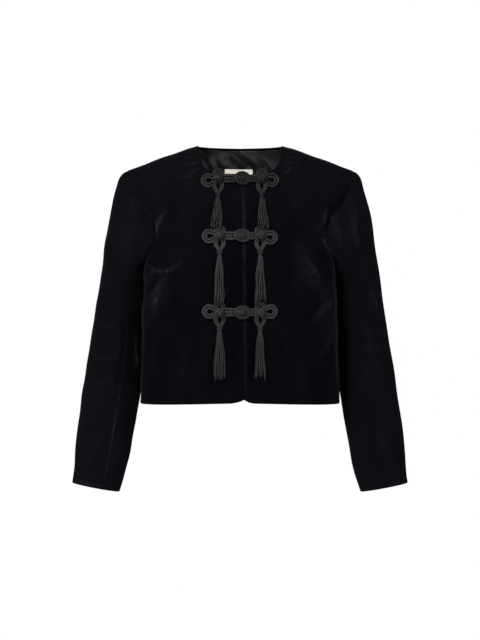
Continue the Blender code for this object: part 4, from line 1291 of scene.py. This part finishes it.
def addFrog(row, hand, side, across, height, lean):
    # one half: an upper and an outer loop and two legs round the ball, then a bar on the right
    # or a loop and its link on the left
    def placed(form, turn=0.0, flip=1):
        # outward and up from the ball, turned about it, resting on the cloth
        flat = np.array(frogTrim[form]) * millimetre
        cosine = math.cos(math.radians(turn))
        sine = math.sin(math.radians(turn))
        x = flip * flat[:, 0] * cosine - flat[:, 1] * sine
        z = flip * flat[:, 0] * sine + flat[:, 1] * cosine
        rest = frogTrim["gap"] + frogTrim[form + "Cords"][0]
        return np.stack([side * (across + x), 0 * x - rest, height + z], -1)

    def straight(form, start, end):
        # a level run from one distance to another
        rest = frogTrim["gap"] + frogTrim[form + "Cords"][0]
        x = np.linspace(start, end, 4)
        return plaitedCords(np.stack([x, 0 * x - rest, 0 * x + height], -1), *frogTrim[form + "Cords"])

    groups = plaitedCords(placed("upper"), *frogTrim["upperCords"])
    groups += plaitedCords(placed("outer", lean), *frogTrim["outerCords"])
    for flip in (1, -1):
        groups += plaitedCords(placed("leg", 0.0, flip), *frogTrim["legCords"], frogTrim["legGather"])
    if side < 0:
        groups += straight("bar", frogTrim["underBall"] - across, -frogTrim["barEnd"])
    else:
        # the loop: an oval that stands off towards the bar, and its link to the ball
        middle, halfLength, halfHeight, lift = frogTrim["loop"]
        turn = np.linspace(0, 2 * math.pi, frogTrim["loopSteps"])
        x = middle + halfLength * np.cos(turn)
        out = frogTrim["gap"] + frogTrim["loopCords"][0] + lift * (1 - np.cos(turn)) / 2
        oval = np.stack([x, -out, height + halfHeight * np.sin(turn)], -1)
        groups += plaitedCords(oval, *frogTrim["loopCords"])
        begin = middle + halfLength + frogTrim["linkStart"]
        groups += straight("link", begin, across - frogTrim["underBall"])
    piece = addTubes("frog" + row.title() + hand + "Cord", groups)
    settle(piece, "frog_" + row + "_" + hand.lower())


ballTrim = {
    "radius": 0.0094,
    "halfDepth": 0.0082,
    "out": 0.0108,
    "cord": 0.00125,
    "leads": 3,
    "bights": 5,
    "latitude": math.radians(60.0),
    "strands": 3,
    "strandStep": math.radians(15.0),
    "weave": 0.0008,
    "steps": 260,
    "sides": 8,
    # the plain core: cord radii below the surface, rows, sides, where it stops short of its poles
    "core": (1.7, 14, 16, 0.995),
    "tilt": math.radians(24.0),
    "knotAcross": 0.0035,
    "knotRadius": 0.0077,
    "knotOut": 0.0085,
    "knotTilt": math.radians(-35.0),
    # the knot's stem: cord radius, half spacing, start, bend, rise at the knot
    "stem": (0.0018, 0.0017, -0.0080, -0.0030, 0.0020),
}


def wovenBall(centre, radius, halfDepth, tilt):
    # a line that goes round the ball while it swings between two latitudes, riding over and
    # under itself; a few such lines side by side cover a plain core
    leads = ballTrim["leads"]
    turn = np.linspace(0, 2 * math.pi * leads, ballTrim["steps"])
    swing = turn * ballTrim["bights"] / leads
    count = ballTrim["strands"]
    shifts = (np.arange(count) - (count - 1) / 2)[:, None] * ballTrim["strandStep"]
    latitude = ballTrim["latitude"] * np.cos(swing) + shifts
    reach = radius - ballTrim["cord"] - ballTrim["weave"] + ballTrim["weave"] * np.sin(2 * swing)
    ways = np.stack([np.cos(latitude) * np.cos(turn), np.cos(latitude) * np.sin(turn), np.sin(latitude)], -1)
    lean = np.array(((1, 0, 0), (0, math.cos(tilt), -math.sin(tilt)), (0, math.sin(tilt), math.cos(tilt))))
    ways = ways @ lean.T
    squash = np.array((1.0, halfDepth / radius, 1.0))
    rings, length = sweep(ways * reach[..., None] * squash, ways, ballTrim["cord"], ballTrim["sides"])
    below, rows, sides, end = ballTrim["core"]
    line = np.linspace(-end, end, rows)
    core = radius - below * ballTrim["cord"]
    path = np.stack([0 * line, 0 * line, line * core], -1)[None]
    coreRings, coreLength = sweep(path, outOfCloth, core * np.sqrt(1 - line**2), sides)
    groups = []
    for tube, run in ((rings, length), (coreRings * squash, coreLength)):
        groups.append(tubeParts(tube + np.array(centre), run, frogTrim["turnLength"]))
    return groups


def addBall(row, hand, side, across, height):
    # the woven ball on the crossing of one half
    centre = (side * across, -ballTrim["out"], height)
    groups = wovenBall(centre, ballTrim["radius"], ballTrim["halfDepth"], ballTrim["tilt"] * side)
    piece = addTubes("ball" + row.title() + hand + "Cord", groups)
    settle(piece, "ball_" + row + "_" + hand.lower())


def addKnot(row, height):
    # the fastening knot, with a short double stem under the loop
    centre = (ballTrim["knotAcross"], -ballTrim["knotOut"], height)
    groups = wovenBall(centre, ballTrim["knotRadius"], ballTrim["knotRadius"], ballTrim["knotTilt"])
    radius, half, start, bend, rise = ballTrim["stem"]
    out = frogTrim["gap"] + radius
    stem = [(start, -out, height), (bend, -out, height), (ballTrim["knotAcross"], -out - rise, height)]
    groups += plaitedCords(stem, radius, 2 * half, 2)
    piece = addTubes("knot" + row.title() + "Cord", groups)
    settle(piece, "knot_" + row)


tasselTrim = {
    "locks": 9,
    "strandsEach": 4,
    "lockHalfWidth": 0.0009,
    "rows": 40,
    "sides": 8,
    "radius": 0.00082,
    "lift": 0.0012,
    "neckTuck": 0.002,
    # shares of the depth by which locks stand before and behind by turns
    "ahead": (0.65, -0.45),
    # how far a lock strays from its place, as a share of a lock's width
    "scatter": 0.22,
    # where a strand thins towards its tip, and by how much
    "thinTip": (0.96, 0.35),
    # between which shares of the drop the tips ride out
    "rideStart": (0.72, 0.92),
    "driftPower": 1.4,
    # uneven lengths: spread, least and most in spreads
    "uneven": (0.05, -1.6, 1.9),
    # sway: size, fewest and most waves, the rate at which it grows from the neck
    "sway": (0.0007, 0.8, 2.0, 4.0),
    # how fast a lock opens from the neck, and how open it starts
    "open": (5.0, 0.25),
    "turnLength": 0.0022,
    "seed": 40,
    # the wound head: height, turns, thread radius, half width, bulge, depth share, distance out
    "head": (0.0075, 5, 0.00085, 0.0037, 0.0011, 0.72, 0.0040),
    "headSteps": 18,
    # its core: start below the neck, end above the head, half width, middle, half height, rows
    "core": (0.0015, 0.003, 0.0028, 0.0045, 0.0072, 9),
    # the core's least share of its width, and what is added all along
    "coreEnds": (0.02, 0.0006),
    # share of the drop, half width, half depth
    "shape": np.array([
        (0.00, 0.0024, 0.0020),
        (0.10, 0.0040, 0.0028),
        (0.45, 0.0080, 0.0034),
        (1.00, 0.0108, 0.0036),
        (1.20, 0.0110, 0.0036),
    ]),
}


def addTassel(row, hand, side, across, height, neckDrop, tip, drift, ride, seed):
    # strands fall in locks set side by side, before and behind by turns, spreading from the neck,
    # each with its own sway and length
    dice = np.random.default_rng(seed)
    locks = tasselTrim["locks"]
    each = tasselTrim["strandsEach"]
    stray = dice.uniform(-tasselTrim["scatter"], tasselTrim["scatter"], locks)
    place = np.repeat((np.arange(locks) + 0.5 + stray) / locks * 2 - 1, each)[:, None]
    ahead = np.repeat(np.where(np.arange(locks) % 2, *tasselTrim["ahead"]), each)[:, None]
    count = locks * each
    t = np.linspace(0, 1, tasselTrim["rows"])[None, :]
    longer = np.repeat(dice.standard_normal(locks), each) + 0.5 * dice.standard_normal(count)
    uneven, least, most = tasselTrim["uneven"]
    fall = t * (1 + uneven * longer.clip(least, most)[:, None])
    neck = height - neckDrop
    shape = tasselTrim["shape"]
    wide = np.interp(fall, shape[:, 0], shape[:, 1])
    deep = np.interp(fall, shape[:, 0], shape[:, 2])
    swing, fewest, most, grows = tasselTrim["sway"]
    phase = dice.uniform(0, 2 * math.pi, (2, locks, 1)).repeat(each, 1)
    beat = dice.uniform(fewest, most, (2, locks, 1)).repeat(each, 1)
    sway = swing * np.sin(2 * math.pi * beat * t + phase) * np.clip(grows * t, 0, 1)
    rate, start = tasselTrim["open"]
    opened = np.clip(rate * t, start, 1)
    loose = dice.uniform(-1, 1, (2, count, 1)) * tasselTrim["lockHalfWidth"] * opened
    middle = side * across
    x = middle + wide * place + sway[0] + loose[0] + side * drift * fall ** tasselTrim["driftPower"]
    out = tasselTrim["lift"] + deep * (1 + ahead) + 0.5 * np.abs(sway[1]) + 0.5 * loose[1]
    begin, end = tasselTrim["rideStart"]
    over = np.clip((fall - begin) / (end - begin), 0, 1)
    out = out + ride * over**2 * (3 - 2 * over)
    start = neck + tasselTrim["neckTuck"]
    paths = np.stack([x, -out, start + (tip - start) * fall], -1)
    begin, less = tasselTrim["thinTip"]
    thin = tasselTrim["radius"] * (1 - less * np.clip((t - begin) / (1 - begin), 0, 1)) + 0 * fall
    rings, length = sweep(paths, outOfCloth, thin, tasselTrim["sides"])
    groups = [tubeParts(rings, length, tasselTrim["turnLength"])]
    # the head: a small core and a thread wound round it
    tall, turns, thread, half, bulge, depth, centreOut = tasselTrim["head"]
    wind = np.linspace(0, 2 * math.pi * turns, tasselTrim["headSteps"] * turns)
    climb = wind / wind[-1]
    reach = half + bulge * np.sin(math.pi * climb)
    z = neck + tall * climb
    coil = np.stack([middle + reach * np.cos(wind), -centreOut - depth * reach * np.sin(wind), z], -1)
    spoke = np.stack([np.cos(wind), -np.sin(wind), 0 * wind], -1)
    rings, length = sweep(coil[None], spoke[None], thread, tasselTrim["sides"])
    groups.append(tubeParts(rings, length, tasselTrim["turnLength"]))
    below, above, half, level, span, rows = tasselTrim["core"]
    rise = np.linspace(-below, tall + above, rows)
    core = np.stack([middle + 0 * rise, -centreOut + 0 * rise, neck + rise], -1)
    least, added = tasselTrim["coreEnds"]
    size = half * np.sqrt(np.clip(1 - ((rise - level) / span) ** 2, least, 1)) + added
    rings, length = sweep(core[None], outOfCloth, size, frogTrim["sides"])
    groups.append(tubeParts(rings, length, tasselTrim["turnLength"]))
    piece = addTubes("tassel" + row.title() + hand + "Cord", groups)
    settle(piece, "tassel_" + row + "_" + hand.lower())


for number, (row, across, height, neckDrop, tip, leans, drifts, ride) in enumerate(frogTrim["rows"]):
    for hand, side, lean, drift in zip(("Right", "Left"), (-1, 1), leans, drifts):
        addFrog(row, hand, side, across, height, lean)
        addBall(row, hand, side, across, height)
        seed = tasselTrim["seed"] + 2 * number + (side > 0)
        addTassel(row, hand, side, across, height, neckDrop, tip, drift, ride, seed)
    addKnot(row, height)
print("closures: frogs, ball knots and tassels")

studio = {
    "cameraDistance": 5.25,
    "cameraHeight": -0.328,
    "frameHeight": 1.216,
    "sensor": 36.0,
    "farthest": 50.0,
    "floorHeight": -1.42,
    "floorSize": 8.0,
    "floorSteps": 13,
    "floorTones": ((0.84, 0.84, 0.84), (0.88, 0.88, 0.88)),
    "floorNoise": (3.0, 2.0),
    "floorRoughness": 0.85,
    "ambient": 0.16,
    # place, size, power, colour
    "lights": (
        ((-1.2, -2.7, 1.3), 1.0, 112.0, (1.0, 0.99, 0.97)),
        ((2.3, -1.6, 0.9), 1.3, 45.0, (0.97, 0.98, 1.0)),
        ((-2.6, -0.4, 0.2), 1.4, 30.0, (0.97, 0.98, 1.0)),
    ),
}


def addStudio():
    # world, three soft lights aimed at the jacket's middle, the camera and the floor
    middle = np.array((0.0, 0.0, studio["cameraHeight"]))
    scene = bpy.context.scene
    scene.view_settings.view_transform = "Standard"
    world = bpy.data.worlds.new("paleStudio")
    world.use_nodes = True
    scene.world = world
    # the backdrop shows white, and lights the jacket only a little
    dim = world.node_tree.nodes["Background"]
    dim.inputs["Color"].default_value = (1.0, 1.0, 1.0, 1.0)
    dim.inputs["Strength"].default_value = studio["ambient"]
    white = world.node_tree.nodes.new("ShaderNodeBackground")
    white.inputs["Color"].default_value = (1.0, 1.0, 1.0, 1.0)
    seen = world.node_tree.nodes.new("ShaderNodeLightPath")
    mix = world.node_tree.nodes.new("ShaderNodeMixShader")
    links = world.node_tree.links
    links.new(seen.outputs["Is Camera Ray"], mix.inputs[0])
    links.new(dim.outputs["Background"], mix.inputs[1])
    links.new(white.outputs["Background"], mix.inputs[2])
    links.new(mix.outputs["Shader"], world.node_tree.nodes["World Output"].inputs["Surface"])
    for number, (place, size, watts, colour) in enumerate(studio["lights"]):
        lamp = bpy.data.lights.new(f"softbox{number}", "AREA")
        lamp.shape = "SQUARE"
        lamp.size = size
        lamp.energy = watts
        lamp.color = colour
        holder = bpy.data.objects.new(f"softbox{number}", lamp)
        scene.collection.objects.link(holder)
        holder.location = place
        holder.rotation_euler = Vector(middle - np.array(place)).to_track_quat("-Z", "Y").to_euler()
    camera = bpy.data.cameras.new("frontCamera")
    camera.lens = studio["sensor"] * studio["cameraDistance"] / studio["frameHeight"]
    camera.clip_end = studio["farthest"]
    viewer = bpy.data.objects.new("frontCamera", camera)
    scene.collection.objects.link(viewer)
    viewer.location = (0.0, -studio["cameraDistance"], studio["cameraHeight"])
    viewer.rotation_euler = (math.pi / 2, 0.0, 0.0)
    scene.camera = viewer
    steps = studio["floorSteps"]
    line = np.linspace(-studio["floorSize"] / 2, studio["floorSize"] / 2, steps)
    x, y = np.meshgrid(line, line)
    spots = np.stack([x, y, 0 * x + studio["floorHeight"]], -1).reshape(-1, 3)
    mesh = bpy.data.meshes.new("paleFloor")
    mesh.from_pydata(spots, [], gridFaces(steps, steps))
    made, shader = addMaterial("paleFloor", studio["floorTones"][0], studio["floorRoughness"])
    spot = addNode(made, "ShaderNodeTexCoord").outputs["Object"]
    tones = addRamp(made, addNoise(made, spot, *studio["floorNoise"]), *studio["floorTones"])
    made.node_tree.links.new(tones, shader.inputs["Base Color"])
    mesh.materials.append(made)
    floor = bpy.data.objects.new("paleFloor", mesh)
    scene.collection.objects.link(floor)


addStudio()
print("studio: camera, lights and floor")
